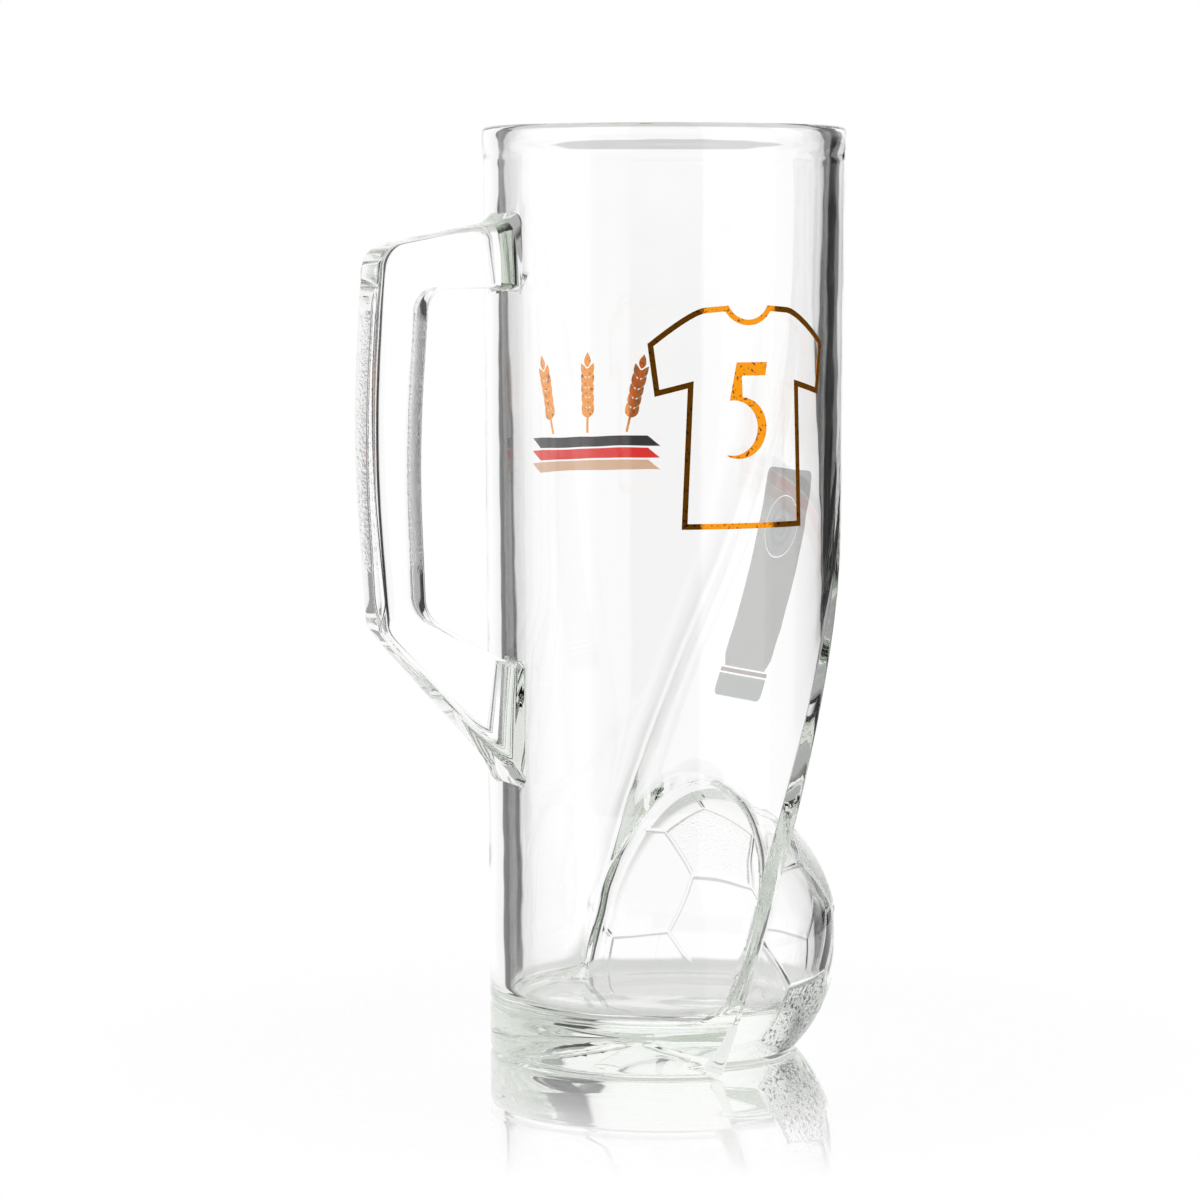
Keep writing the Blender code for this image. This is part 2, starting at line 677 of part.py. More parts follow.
def make_label(shells, parts, finishes):
    """A pale panel with a round inlay, a fine rule and a coloured band, edge to edge down the facet."""
    square = LABEL_SQUARE_ROUND
    band_top = LABEL_BOTTOM + LABEL_BAND_HEIGHT
    rule_bottom = band_top + PRINT_SPACING
    rule_top = rule_bottom + LABEL_RULE_HEIGHT
    roundel = (0.0, LABEL_TOP - ROUNDEL_BELOW_TOP)
    window = arc(roundel, ROUNDEL_RADIUS + PRINT_SPACING, 0, 360, ROUNDEL_STEPS)[:-1]
    inlay = arc(roundel, ROUNDEL_RADIUS, 0, 360, ROUNDEL_STEPS)[:-1]
    panel = oblong(rule_top + PRINT_SPACING, LABEL_TOP, square, LABEL_ROUND)
    rule = oblong(rule_bottom, rule_top, square, square)
    band = oblong(LABEL_BOTTOM, band_top, LABEL_ROUND, square)
    label_print("label_panel", [panel, window], shells, parts, finishes["panel"])
    label_print("label_roundel", [inlay], shells, parts, finishes["roundel"])
    label_print("label_rule", [rule], shells, parts, finishes["rule"])
    label_print("label_band", [band], shells, parts, finishes["band"])


def main():
    for old in list(bpy.data.objects):
        bpy.data.objects.remove(old)
    parts = collection("beer_mug")
    cutters = collection("cutters")
    glass = material("clear_glass", (0.93, 0.96, 0.95), 0.02, transmission=1.0)
    handle_glass = material("handle_glass", (0.92, 0.96, 0.95), 0.03, transmission=1.0)
    gold = material("gold_print", (0.80, 0.42, 0.08), 0.30, metallic=1.0)
    stripes = {
        "stripe_black": material("black_print", (0.02, 0.02, 0.02), 0.35),
        "stripe_red": material("red_print", (0.62, 0.05, 0.03), 0.35),
        "stripe_gold": material("yellow_gold_print", (0.85, 0.50, 0.06), 0.35),
    }
    label = {
        "panel": material("pale_label_print", (0.62, 0.64, 0.62), 0.45),
        "roundel": material("blue_grey_print", (0.30, 0.36, 0.42), 0.45),
        "rule": material("red_brown_print", (0.40, 0.12, 0.06), 0.45),
        "band": material("green_print", (0.05, 0.22, 0.12), 0.45),
    }
    make_vessel(parts, cutters, glass)
    make_handle(parts, cutters, handle_glass)
    shells = print_layers(cutters)
    make_shirt(shells, parts, gold)
    make_ornament(shells, parts, gold, stripes)
    make_label(shells, parts, label)


main()
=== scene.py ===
"""Dresses the beer mug: one body of clear glass, fired-on gold and enamel prints, and a white studio.

Metres, +Z up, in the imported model's own frame: the handle points to +X, the glass football to -X, the
shirt print to +Y and the barley print to -Y.
"""

import itertools
import math

import bmesh
import bpy
import numpy as np
from bpy.props import FloatProperty, FloatVectorProperty, PointerProperty
from bpy.types import Operator, Panel, PropertyGroup
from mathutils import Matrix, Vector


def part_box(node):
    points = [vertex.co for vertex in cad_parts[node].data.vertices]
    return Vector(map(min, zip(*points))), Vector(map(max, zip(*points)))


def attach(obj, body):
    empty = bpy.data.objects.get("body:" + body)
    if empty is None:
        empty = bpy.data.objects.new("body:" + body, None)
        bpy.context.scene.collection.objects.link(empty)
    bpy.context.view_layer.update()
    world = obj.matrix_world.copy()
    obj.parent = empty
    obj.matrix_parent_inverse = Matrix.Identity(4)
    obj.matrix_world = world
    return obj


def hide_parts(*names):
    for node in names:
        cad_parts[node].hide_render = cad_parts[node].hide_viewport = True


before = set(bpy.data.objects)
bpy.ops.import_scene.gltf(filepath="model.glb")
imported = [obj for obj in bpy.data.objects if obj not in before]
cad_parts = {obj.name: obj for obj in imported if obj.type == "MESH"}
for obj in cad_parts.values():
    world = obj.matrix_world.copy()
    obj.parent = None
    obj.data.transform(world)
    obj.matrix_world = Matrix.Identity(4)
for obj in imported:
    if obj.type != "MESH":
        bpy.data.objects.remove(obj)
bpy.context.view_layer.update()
VESSEL_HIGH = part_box("vessel")[1]
SHIRT_LOW, SHIRT_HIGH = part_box("shirt_outline")
NUMERAL_LOW, NUMERAL_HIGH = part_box("shirt_numeral")
PANEL_LOW, PANEL_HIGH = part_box("label_panel")
EAR_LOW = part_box("barley_ear_centre")[0]

bl_info = {
    "name": "Football beer mug",
    "version": (1, 0, 0),
    "blender": (4, 5, 0),
    "location": "View3D > Sidebar > Mug",
    "description": "Dresses a packed glass beer mug and stands it in a white studio",
    "category": "Object",
}

# Columns of the glass: from the handle's side to the facet's edge, along the facet to the ball, and over the
# ball to the middle of the front, with extra columns at small distances beside the facet's edge
BACK_POINTS = 38
STRIP_POINTS = 15
FRONT_POINTS = 78
EDGE_OFFSETS = np.array([0.0016, 0.0009, 0.00045, 0.00018])
STRIP_CROWDING = 1.6
LEAST_FACET = 0.9972
LEAST_FRONT = 0.12

# Rows of the glass: runs of (height, count) at the foot and at the hollow's low end, the height down to
# which the hollow keeps to the outer wall, the bead's start, the crease's share of the facet's bend, and the
# shares by which the rings of the underside and of the floor are drawn in
FOOT_RUNS = ((0.0022, 6), (0.0094, 7), (0.0116, 8), (0.0400, 34))
HOLLOW_RUNS = ((0.0340, 24), (0.0190, 12))
HOLLOW_LOW = 0.02
BEAD_START = 0.186
CREASE_SHARE = 0.62
UNDER_SHARES = np.linspace(0.05, 0.985, 6)
FLOOR_SHARES = np.linspace(0.985, 0.04, 14)
LIP_POINTS = 13
LIP_POWER = 0.8

# Slow waves in the mug's floor: depth, and radians per metre and start along X and Y
WAVE_DEPTH = 0.00016
WAVE_X = (190.0, 1.2)
WAVE_Y = (170.0, 0.4)

# Planes of a football's five-sided and six-sided panels, as shares of its radius, and the band about that
# radius in which a point counts as on the ball
PENTAGONS = 12
PENTAGON_REACH = 0.9393363
HEXAGON_REACH = 0.9149584
BALL_BAND = 0.0001
BALL_FADE = 0.0005

# Steps along the handle's runs and corners and round its edges, along and round the prints, and round the
# stage's discs, and the angle from which an edge is sharp
RUN_STEPS = 24
ARC_STEPS = 14
EDGE_STEPS = 8
FILM_STEP = 0.0012
FINE_STEP = 0.0008
ROUND_STEPS = 96
DISC_STEPS = 128
SHARP_ANGLE = math.radians(40)
# Points across a line, a stroke and a panel of print
LINE_POINTS = 3
STROKE_POINTS = 4
PANEL_POINTS = 10

# Shapes of the prints: the shoulder's bend, the numeral's bowl in degrees, and an ear's grains as shares of
# the step from pair to pair and of the ear's half width
SHOULDER_BEND = (0.0030, -0.0001)
SHOULDER_POINTS = 10
NECK_STEPS = 12
BOWL_OUTER = (-114, 84)
BOWL_INNER = (-102, 98)
BOWL_STEPS = 30
EAR_PAIRS = 5
TIP_LENGTH, TIP_WIDTH = 1.5, 0.42
GRAIN_LENGTH, GRAIN_WIDTH = 1.45, 0.38
GRAIN_LEAN = 0.42
GRAIN_OFFSET = 0.0003
FIRST_PAIR = 0.4
STEM_END = 1.6
STEM_POINTS = 9
LEAF_POINTS = 11
LEAF_TRIM = 0.02
LEAF_POWER = 0.8

# Roundel: (distance from its middle, share of the rings' colour)
ROUNDEL_RINGS = (
    (0.0, 0.0), (0.0022, 0.0), (0.0023, 1.0), (0.0034, 1.0), (0.0035, 0.25), (0.0046, 0.25), (0.0047, 1.0),
)

# Frosted glass: how far up or to the shirt's side a pebbled panel faces, how faint the upper panels and the
# grip are, how the grip's frosting fades at its top, its foot and its edges, and how rough full frosting is
PEBBLE_FACING = 0.2
FAINT_PEBBLE = 0.4
GRIP_FROST = 0.5
GRIP_TOP_FADE, GRIP_LOW_FADE = 0.002, 0.004
FINGER_FACING, FINGER_FADE = 0.55, 0.4
FROST_ROUGHNESS = 0.09
ENAMEL_ROUGHNESS = 0.35
# How far outside the rim the handle's own roughness starts
HANDLE_CLEAR = 0.001

# Studio that glass and gold mirror: brightness by the heading in degrees, from straight behind the mug
MIRRORED_ROOM = (
    (-180, 0.10), (-135, 0.10), (-128, 0.85), (-47, 0.85), (-40, 1.0), (16, 1.0), (18, 0.03), (46, 0.03),
    (47, 0.12), (105, 0.12), (107, 1.0), (155, 1.0), (156, 0.10),
)
# Brightness of the cards, of the slanted strip, of the room for light that is neither mirrored nor seen
# through glass, of its front above eye level, of light trapped in the glass, of light off a matt face, and of
# the table
CARD_DARK = 0.01
STRIP_GREY = 0.15
ROOM_GREY = 0.85
RAISED_GREY = 0.92
TRAPPED_GREY = 0.85
MATT_GREY = 0.95
TABLE_GREY = (0.66, 0.67, 0.65)
# Lean and heading of the slanted strip in radians, and counts of bounces between the cases above
STRIP_LEAN = 0.604
STRIP_HEADING = 1.056
ONE_WALL = 2.5
TRAPPED = 10.5

# Depths of the stage's discs under the table's height
SHADE_DEPTH = 0.0001
FLOOR_DEPTH = 0.0002


def length(name, default, description):
    return FloatProperty(
        name=name, description=description, default=default, precision=5, subtype="DISTANCE", unit="LENGTH"
    )


def angle(name, degrees, description):
    return FloatProperty(name=name, description=description, default=math.radians(degrees), subtype="ANGLE")


def amount(name, default, description):
    return FloatProperty(name=name, description=description, default=default, precision=4)


def colour(name, default, description):
    return FloatVectorProperty(
        name=name, description=description, default=default, size=3, subtype="COLOR", min=0.0, max=1.0
    )


class MugGlass(PropertyGroup):
    """Sizes and finish of the tankard, its facet and its ball."""

    height: length("Height", VESSEL_HIGH.z, "From the table to the top of the lip")
    bead_swell: length("Bead swell", 0.0003, "How far the bead under the lip stands out")
    bead_radius: length("Bead radius", VESSEL_HIGH.y, "Outer radius at the bead")
    bead_height: length("Bead height", 0.0057, "From the top of the lip down to the bead's lower edge")
    foot_radius: length("Foot radius", 0.0368, "Outer radius at the table")
    wall: length("Wall", 0.0032, "Thickness of the round wall at the lip")
    wall_gain: length("Wall gain", 0.0012, "How much thicker the wall is at the table")
    lip_drop: length("Lip", 0.0017, "Height of the rounded lip")
    base: length("Base", 0.0105, "Thickness of the glass under the drink")
    floor_round: length("Floor round", 0.0040, "Reach of the round between wall and floor")
    floor_dome: length("Floor dome", 0.0012, "How far the middle of the floor rises")
    foot_round: length("Foot round", 0.0012, "Reach of the round at the table")
    foot_line: length("Foot line", 0.0105, "Height of the fine line above the foot")
    foot_line_width: length("Foot line width", 0.0006, "Half width of that line")
    foot_line_depth: length("Foot line depth", 0.0004, "Depth of that line")
    facet_set_back: length("Facet set-back", 0.0057, "How far behind the axis the facet meets the table")
    facet_bend: length("Facet bend", 0.0923, "Height where the facet starts to curve into the wall")
    facet_first: length("Facet step", 0.0001, "Depth of the facet's first cut under the bead")
    facet_wall: length("Facet wall", 0.0038, "Thickness of the glass behind the facet")
    ridge_round: length("Ridge round", 0.0005, "Reach of the round along the facet's edges")
    inner_round: length("Inner round", 0.0002, "Reach of the same round inside")
    far_round: length("Far round", 0.0016, "Reach of the softer round along the facet's far edge")
    far_inner: length("Far inner round", 0.0046, "Reach of that softer round inside")
    far_blend: length("Far blend", 0.012, "Width of the change from the near rounds to the far ones")
    ball_radius: length("Ball radius", 0.0336, "Outer radius of the football")
    ball_inset: length("Ball inset", 0.0002, "How far the ball stays behind the rim's front")
    ball_cut: length("Ball cut", 0.0104, "How much of the ball the table takes off")
    ball_wall: length("Ball wall", 0.0030, "Thickness of the ball's wall")
    ball_fillet: length("Ball fillet", 0.0027, "Reach of the fillet between ball and facet")
    inner_fillet: length("Inner fillet", 0.0085, "Reach of the same fillet inside")
    seam_width: length("Seam width", 0.00042, "Half width of the ball's seams")
    seam_depth: length("Seam depth", 0.00025, "Depth of the ball's seams")
    ball_spin: angle("Ball spin", 7.5, "Turn of the panels about the vertical")
    ball_tilt: angle("Ball tilt", 6.0, "Lean of the panels after that turn")
    ball_tilt_toward: angle("Tilt toward", 29.0, "Direction of the lean")
    handle_roughness: amount("Handle roughness", 0.035, "Roughness of the handle; the body has none")
    tint: colour("Tint", (1.0, 1.0, 1.0), "Colour of light that goes through the surface")
    # Painted shade: the near-black in the pits of the pebbled panels stands for the shade in them, not for a
    # colour of the glass
    pit_shade: colour("Pit", (0.03, 0.03, 0.03), "Colour of the pits in the ball's lowest pebbled panels")
    body_tint: colour("Body tint", (0.76, 0.83, 0.73), "Colour that thick glass takes on")
    body_density: amount("Body density", 5.0, "How fast thick glass takes it on, per metre")


class MugHandle(PropertyGroup):
    """Sizes of the fused-on handle, down from the rim and out from the wall."""

    arm_top: length("Arm top", 0.0194, "From the rim down to the top of the upper arm at the wall")
    arm_fall: length("Arm fall", 0.0057, "How far the upper arm falls to its outer corner")
    arm_depth: length("Arm depth", 0.0141, "Depth of the upper arm at the wall")
    reach: length("Reach", 0.0327, "How far the grip's outside stands from the wall")
    grip_depth: length("Grip depth", 0.0107, "Depth of the grip, from finger side to outside")
    grip_width: length("Grip width", 0.0124, "Width of the grip, from side to side")
    grip_length: length("Grip length", 0.0780, "Height of the grip's outside")
    bow_above: length("Bow above", 0.0024, "How far the grip's upper corner stays behind its middle")
    bow_below: length("Bow below", 0.0030, "How far its lower corner stays behind its middle")
    seat_drop: length("Lower seat", 0.1345, "From the rim down to the lowest point of the lower seat")
    seat_depth: length("Lower seat depth", 0.0230, "Height of the lower seat")
    edge_round: length("Edge round", 0.0027, "Round of the bar's two outer edges")
    finger_round: length("Finger round", 0.0012, "Round of its two edges on the finger side")
    outer_corner: length("Outer corner", 0.0058, "Round of the outer corners")
    inner_corner: length("Inner corner", 0.0048, "Round of the upper inner corner")
    lower_corner: length("Lower corner", 0.0070, "Round of the lower inner corner")
    bow_radius: length("Bow radius", 0.2660, "Radius of the grip's bow")
    pad_flare: length("Pad flare", 0.0014, "How far each pad widens at the wall")
    pad_deepening: length("Pad deepening", 0.0014, "How far each pad deepens at the wall")
    pad_length: length("Pad length", 0.0030, "How far from the wall the pad starts to flare")
    pad_sink: length("Pad sink", 0.0021, "How far the bar's ends run into the wall")


class MugPrints(PropertyGroup):
    """Sizes and colours of the fired-on films."""

    film: length("Film", 0.00008, "Thickness of each film")
    film_gap: length("Film gap", 0.00001, "How far each film lies above the glass")
    shirt_line: length("Shirt line", 0.00115, "Width of the shirt's line")
    sleeve_span: length("Sleeve span", 0.0422, "Across the tips of the sleeves")
    cuff_span: length("Cuff span", 0.0392, "Across the lower corners of the cuffs")
    chest_width: length("Chest", 0.0258, "Across the armpits")
    hem_width: length("Hem", 0.0280, "Across the hem")
    shoulder_width: length("Shoulders", 0.0185, "Across the points where the shoulders start to fall")
    neck_width: length("Neck", 0.0090, "Across the neck")
    neck_dip: length("Neck dip", 0.0029, "Depth of the neck")
    shoulder_drop: length("Shoulder drop", 0.0004, "From the top to the shoulders")
    sleeve_drop: length("Sleeve drop", 0.0077, "From the top to the tips of the sleeves")
    cuff_drop: length("Cuff drop", 0.0184, "From the top to the lower corners of the cuffs")
    armpit_drop: length("Armpit drop", 0.0167, "From the top to the armpits")
    shirt_shift: length("Shirt shift", -0.0010, "How far the shirt sits from the middle of the side")
    numeral_width: length("Numeral", 0.0088, "Width of the numeral")
    numeral_stroke: length("Numeral stroke", 0.0021, "Widest stroke of its bowl")
    bowl_radius: length("Bowl", 0.0063, "Outer radius of its bowl")
    bowl_rise: length("Bowl rise", 0.0058, "Height of the bowl's middle above the foot")
    bowl_thinning: length("Bowl thinning", 0.0007, "How much smaller the bowl's inner circle is")
    flag_height: length("Flag", 0.0027, "Height of its flag")
    flag_slant: length("Flag slant", 0.0004, "Slant of the flag's end")
    stem_left: length("Stem", 0.0018, "Where the stem's top starts")
    stem_width: length("Stem width", 0.0011, "Width of the stem at the flag")
    ear_length: length("Ear", 0.0176, "Length of an ear with its stem")
    ear_stem: length("Ear stem", 0.0042, "Length of the bare stem")
    ear_half_width: length("Ear half width", 0.0020, "Half width of an ear")
    stem_half: length("Stem half width", 0.0003, "Half width of the stem")
    ear_spacing: length("Ear spacing", 0.0100, "From ear to ear")
    ear_lean: angle("Ear lean", 14.0, "How far the outer ears lean")
    stripe: length("Stripe", 0.0360, "Length of a stripe")
    stripe_slant: length("Stripe slant", 0.0030, "Slant of a stripe's ends")
    roundel: length("Roundel", 0.0065, "Radius of the round inlay")
    roundel_gap: length("Roundel gap", 0.00025, "Bare glass between the roundel and the panel")
    label_round: length("Label round", 0.0015, "Round of the label's corners")
    stripe_clear: amount("Stripe clearness", 0.8, "How much of the light goes through the stripes' enamel")
    label_cover: amount("Label cover", 0.42, "How much of the light the label's enamel stops")
    panel: colour("Panel", (0.58, 0.555, 0.54), "Colour of the pale panel")
    rule: colour("Rule", (0.30, 0.10, 0.06), "Colour of the fine rule")
    band: colour("Band", (0.44, 0.52, 0.46), "Colour of the band at the foot")
    roundel_core: colour("Roundel core", (0.36, 0.40, 0.44), "Colour of the roundel's middle")
    roundel_ring: colour("Roundel ring", (0.55, 0.56, 0.57), "Colour of its rings")
    black: colour("Black", (0.02, 0.02, 0.022), "Colour of the black stripe")
    red: colour("Red", (0.95, 0.02, 0.012), "Colour of the red stripe")
    yellow: colour("Yellow", (0.90, 0.60, 0.40), "Colour of the gold-yellow stripe")
    gold: colour("Gold", (0.95, 0.34, 0.012), "Colour of the metallic gold")
    speck: colour("Speck", (0.20, 0.035, 0.03), "Colour of the pin holes in the gold")


class MugStage(PropertyGroup):
    """The camera, the light and the floor."""

    azimuth: angle("Azimuth", 151.5, "Direction of the camera round the mug")
    distance: length("Distance", 0.8799, "From the mug's axis to the camera")
    eye_height: length("Eye height", 0.1712, "Height of the camera above the table")
    yaw: angle("Yaw", -0.8753, "How far the camera looks past the axis")
    pitch: angle("Pitch", 4.9224, "How far the camera looks down")
    lens: amount("Lens", 125.112, "Focal length in millimetres on a 36 mm sensor")
    floor_radius: length("Floor radius", 0.40, "Radius of the floor")
    floor_grey: colour("Floor grey", (0.27, 0.27, 0.27), "Colour of the floor apart from its glow")
    shine_start: length("Shine start", 0.036, "Where the floor's mirror image starts to fade")
    shine_end: length("Shine end", 0.128, "Where it has faded")
    # Painted shadow and painted light: a grey disc under the mug stands for the table's shade, and its glow
    # stands for light that reaches it through the glass
    shade_radius: length("Shade radius", 0.0330, "Radius of the shaded table under the mug")
    shade_grey: colour("Shade grey", (0.62, 0.62, 0.60), "Colour of that shaded table")
    painted_table_glow: amount("Shade glow", 0.30, "Light that reaches that table through the glass")
    floor_glow: amount("Floor glow", 0.76, "How bright the floor is to the camera apart from the light on it")
    card_edge: angle("Card edge", 16.5, "Where the dark cards start, from straight behind the mug")
    card_end: angle("Card end", 46.0, "Where the dark cards end")
    side_grey: amount("Side grey", 0.42, "Brightness of the room's sides, through one wall or the handle")
    near_edge: amount("Near edge", 37.0, "Where the cards start through one wall, in degrees")
    card_lift: angle("Card lift", 4.5, "How much further out they start at the rim's height")
    glass_white: amount("White through glass", 1.04, "Brightness of the wall behind the mug")
    shine: amount("Floor shine", 0.85, "How much of the floor's picture is a mirror image, near the mug")


def smooth_step(t):
    t = np.clip(t, 0.0, 1.0)
    return t * t * (3.0 - 2.0 * t)


def smooth_min(a, b, reach):
    """The lesser of two fields, rounded where they differ by less than `reach`."""
    h = np.clip(0.5 + 0.5 * (b - a) / reach, 0.0, 1.0)
    return b + (a - b) * h - reach * h * (1.0 - h)


def smooth_max(a, b, reach):
    return -smooth_min(-a, -b, reach)


def rows(start, *runs):
    """Values from start on, in runs of (end, count) even steps; the last end is included."""
    parts = []
    for end, count in runs:
        parts.append(np.linspace(start, end, count, endpoint=False))
        start = end
    return np.append(np.concatenate(parts), start)


def rim_radius(s):
    return s.bead_radius - s.bead_swell


def wall_radius(s, z):
    """Outer radius at height z: an even taper, less a fine line above the foot, plus the bead."""
    facet_top = s.height - s.bead_height
    taper = s.foot_radius + (rim_radius(s) - s.foot_radius) * z / facet_top
    line = s.foot_line_depth * np.exp(-(((z - s.foot_line) / s.foot_line_width) ** 2))
    bead = s.bead_swell * smooth_step((z - facet_top + s.bead_height / 4) / (s.bead_height / 1.6))
    return taper - line + bead


def wall_depth(s, z):
    """Thickness of the round wall, which grows evenly from the lip to the table."""
    return s.wall + s.wall_gain * (1.0 - z / s.height)


def facet_slope(s):
    lead = s.height - s.bead_height - s.facet_bend
    return (rim_radius(s) + s.facet_set_back) / (s.facet_bend + lead / 3)


def facet_reach(s, z):
    """Distance of the facet in front of the axis: a straight slope up to the bend, then a cubic that starts
    with the same slope and dies out at the bead, and above the bead a line that leaves the wall."""
    top = s.height - s.bead_height
    lead = top - s.facet_bend
    slope = facet_slope(s)
    left = np.clip((top - z) / lead, 0.0, 1.0)
    curved = rim_radius(s) - slope * lead / 3 * left**3
    reach = np.where(z > s.facet_bend, curved, slope * z - s.facet_set_back)
    return reach - s.facet_first + np.maximum(z - top, 0.0)


def ball_centre(s):
    return np.array([-(rim_radius(s) - s.ball_inset - s.ball_radius), 0.0, s.ball_radius - s.ball_cut])


def far_mix(s, y, near, far):
    """One size on the near side of the facet, another on its far side, with a smooth change between."""
    return near + (far - near) * smooth_step(-y / s.far_blend)


def outside(s, p):
    """Field that is zero on the mug's outside and negative in the glass: the wall meets the facet in a tight
    round, the ball runs into both with a fillet, and the table cuts all three with a small round."""
    x, y, z = p[..., 0], p[..., 1], p[..., 2]
    wall = np.hypot(x, y) - wall_radius(s, z)
    facet = (-x - facet_reach(s, z)) / math.hypot(1.0, facet_slope(s))
    ball = np.linalg.norm(p - ball_centre(s), axis=-1) - s.ball_radius
    body = smooth_max(wall, facet, far_mix(s, y, s.ridge_round, s.far_round))
    return smooth_max(smooth_min(body, ball, s.ball_fillet), -z, s.foot_round)


def inside(s, p):
    """The same for the hollow: wall, facet and ball set in by the glass's thickness, with wider rounds, and
    a floor that rises to its middle with a few slow waves in it."""
    x, y, z = p[..., 0], p[..., 1], p[..., 2]
    along = np.clip(z, HOLLOW_LOW, s.height - s.bead_height)
    wall = np.hypot(x, y) - wall_radius(s, along) + wall_depth(s, z)
    facet = (-x - facet_reach(s, z) + s.facet_wall) / math.hypot(1.0, facet_slope(s))
    ball = np.linalg.norm(p - ball_centre(s), axis=-1) - s.ball_radius + s.ball_wall
    tankard = smooth_max(wall, facet, far_mix(s, y, s.inner_round, s.far_inner))
    hollow = smooth_min(tankard, ball, s.inner_fillet)
    dome = s.floor_dome * (1.0 - (x**2 + y**2) / s.foot_radius**2)
    waves = WAVE_DEPTH * np.sin(WAVE_X[0] * x + WAVE_X[1]) * np.sin(WAVE_Y[0] * y + WAVE_Y[1])
    return smooth_max(hollow, s.base + dome + waves - z, s.floor_round)


def settle(s, p, field, passes=7, nudge=2e-5, least=0.05):
    """Points moved along the field's slope until the field is zero there, by Newton's rule. A squared slope
    under `least` counts as that."""
    for _ in range(passes):
        value = field(s, p)
        slope = np.stack(
            [(field(s, p + step) - field(s, p - step)) / (2 * nudge) for step in np.eye(3) * nudge], axis=-1
        )
        p = p - slope * (value / np.maximum((slope**2).sum(axis=-1), least))[..., None]
    return p


def ring_of(s, z, radius, reach, ball_radius):
    """Level cuts through wall, facet and ball at heights z, one closed ring of points a height. Half a ring
    runs round the wall from the handle's side to the facet's edge, along the facet to where the ball stands
    out of it, and round the ball to the middle of the front. The other half mirrors it."""
    z, radius, reach = z[:, None], radius[:, None], reach[:, None]
    centre = ball_centre(s)
    reach = np.minimum(reach, radius * LEAST_FACET)
    edge = np.sqrt(radius**2 - reach**2)
    edge_turn = np.arctan2(edge, -reach)
    level = np.sqrt(np.maximum(ball_radius**2 - (z - centre[2]) ** 2, 0.0))
    lead = reach + centre[0]
    split = np.maximum(np.sqrt(np.maximum(level**2 - lead**2, 0.0)), LEAST_FRONT * edge)
    even = np.linspace(0.0, 1.0, BACK_POINTS - len(EDGE_OFFSETS), endpoint=False)
    turn = np.concatenate(
        [even * (edge_turn - EDGE_OFFSETS[0] / radius), edge_turn - EDGE_OFFSETS / radius], axis=1
    )
    share = 1.0 - np.linspace(1.0, 0.0, STRIP_POINTS - len(EDGE_OFFSETS) + 1)[:-1] ** STRIP_CROWDING
    near = np.append(0.0, EDGE_OFFSETS[::-1])
    beside = np.broadcast_to(near[:-1], (len(z), len(near) - 1))
    along = np.concatenate([beside, near[-1] + share * (edge - split - near[-1])], axis=1)
    sweep = np.linspace(0.0, 1.0, FRONT_POINTS + 1)
    swing = np.arctan2(split, -lead)
    swing = swing + (math.pi - swing) * sweep
    chord = np.where(lead > 0.0, lead / np.maximum(-np.cos(swing), 1e-6), 0.0)
    out = np.maximum(level, chord)
    x = np.concatenate([radius * np.cos(turn), -reach + 0.0 * along, centre[0] + out * np.cos(swing)], axis=1)
    y = np.concatenate([radius * np.sin(turn), edge - along, out * np.sin(swing)], axis=1)
    y[:, -1] = 0.0
    x = np.concatenate([x, x[:, -2:0:-1]], axis=1)
    y = np.concatenate([y, -y[:, -2:0:-1]], axis=1)
    return np.stack([x, y, z + 0.0 * x], axis=-1)


def shrunk(ring, shares, hub):
    """Copies of a level ring drawn in towards a hub by each share."""
    return hub + (ring[None] - hub) * shares[:, None, None]


def panel_normals(s):
    """Directions of the football's 12 five-sided and 20 six-sided panels: the corners of an icosahedron and
    the middles of its faces, turned as the ball is, with each panel's distance from the ball's middle."""
    high = 1.0 / math.sqrt(5.0)
    flat = 2.0 / math.sqrt(5.0)
    fifth = np.arange(5) * math.tau / 5
    upper = np.stack([flat * np.cos(fifth), flat * np.sin(fifth), 0 * fifth + high], axis=1)
    corners = np.concatenate([[(0.0, 0.0, 1.0)], upper, -upper, [(0.0, 0.0, -1.0)]])
    near = corners @ corners.T > high / 2
    trios = [trio for trio in itertools.combinations(range(PENTAGONS), 3) if near[np.ix_(trio, trio)].all()]
    middles = corners[np.array(trios)].sum(axis=1)
    middles /= np.linalg.norm(middles, axis=1)[:, None]
    normals = np.concatenate([corners, middles])
    reach = np.where(np.arange(len(normals)) < PENTAGONS, PENTAGON_REACH, HEXAGON_REACH)
    spin = turn_about((0.0, 0.0, 1.0), s.ball_spin)
    lean = turn_about((-math.sin(s.ball_tilt_toward), math.cos(s.ball_tilt_toward), 0.0), s.ball_tilt)
    return normals @ (lean @ spin).T, reach


def turn_about(axis, turn):
    """Matrix of a turn about an axis, by the rule cos + sin cross + (1 - cos) outer."""
    axis = np.array(axis)
    cross = np.array([(0, -axis[2], axis[1]), (axis[2], 0, -axis[0]), (-axis[1], axis[0], 0)])
    return math.cos(turn) * np.eye(3) + math.sin(turn) * cross + (1 - math.cos(turn)) * np.outer(axis, axis)


def nearest_panel(s, direction):
    """The number of the panel in each direction, the five-sided ones first, and how far along the ball the
    nearest seam is. A seam lies where two panels' planes are equally far along the direction."""
    normals, reach = panel_normals(s)
    score = direction @ (normals / reach[:, None]).T
    order = np.argsort(score, axis=-1)
    first = np.take_along_axis(score, order[..., -1:], axis=-1)[..., 0]
    second = np.take_along_axis(score, order[..., -2:-1], axis=-1)[..., 0]
    step = np.linalg.norm(normals[order[..., -1]] - normals[order[..., -2]], axis=-1)
    return order[..., -1], (first - second) / step * s.ball_radius


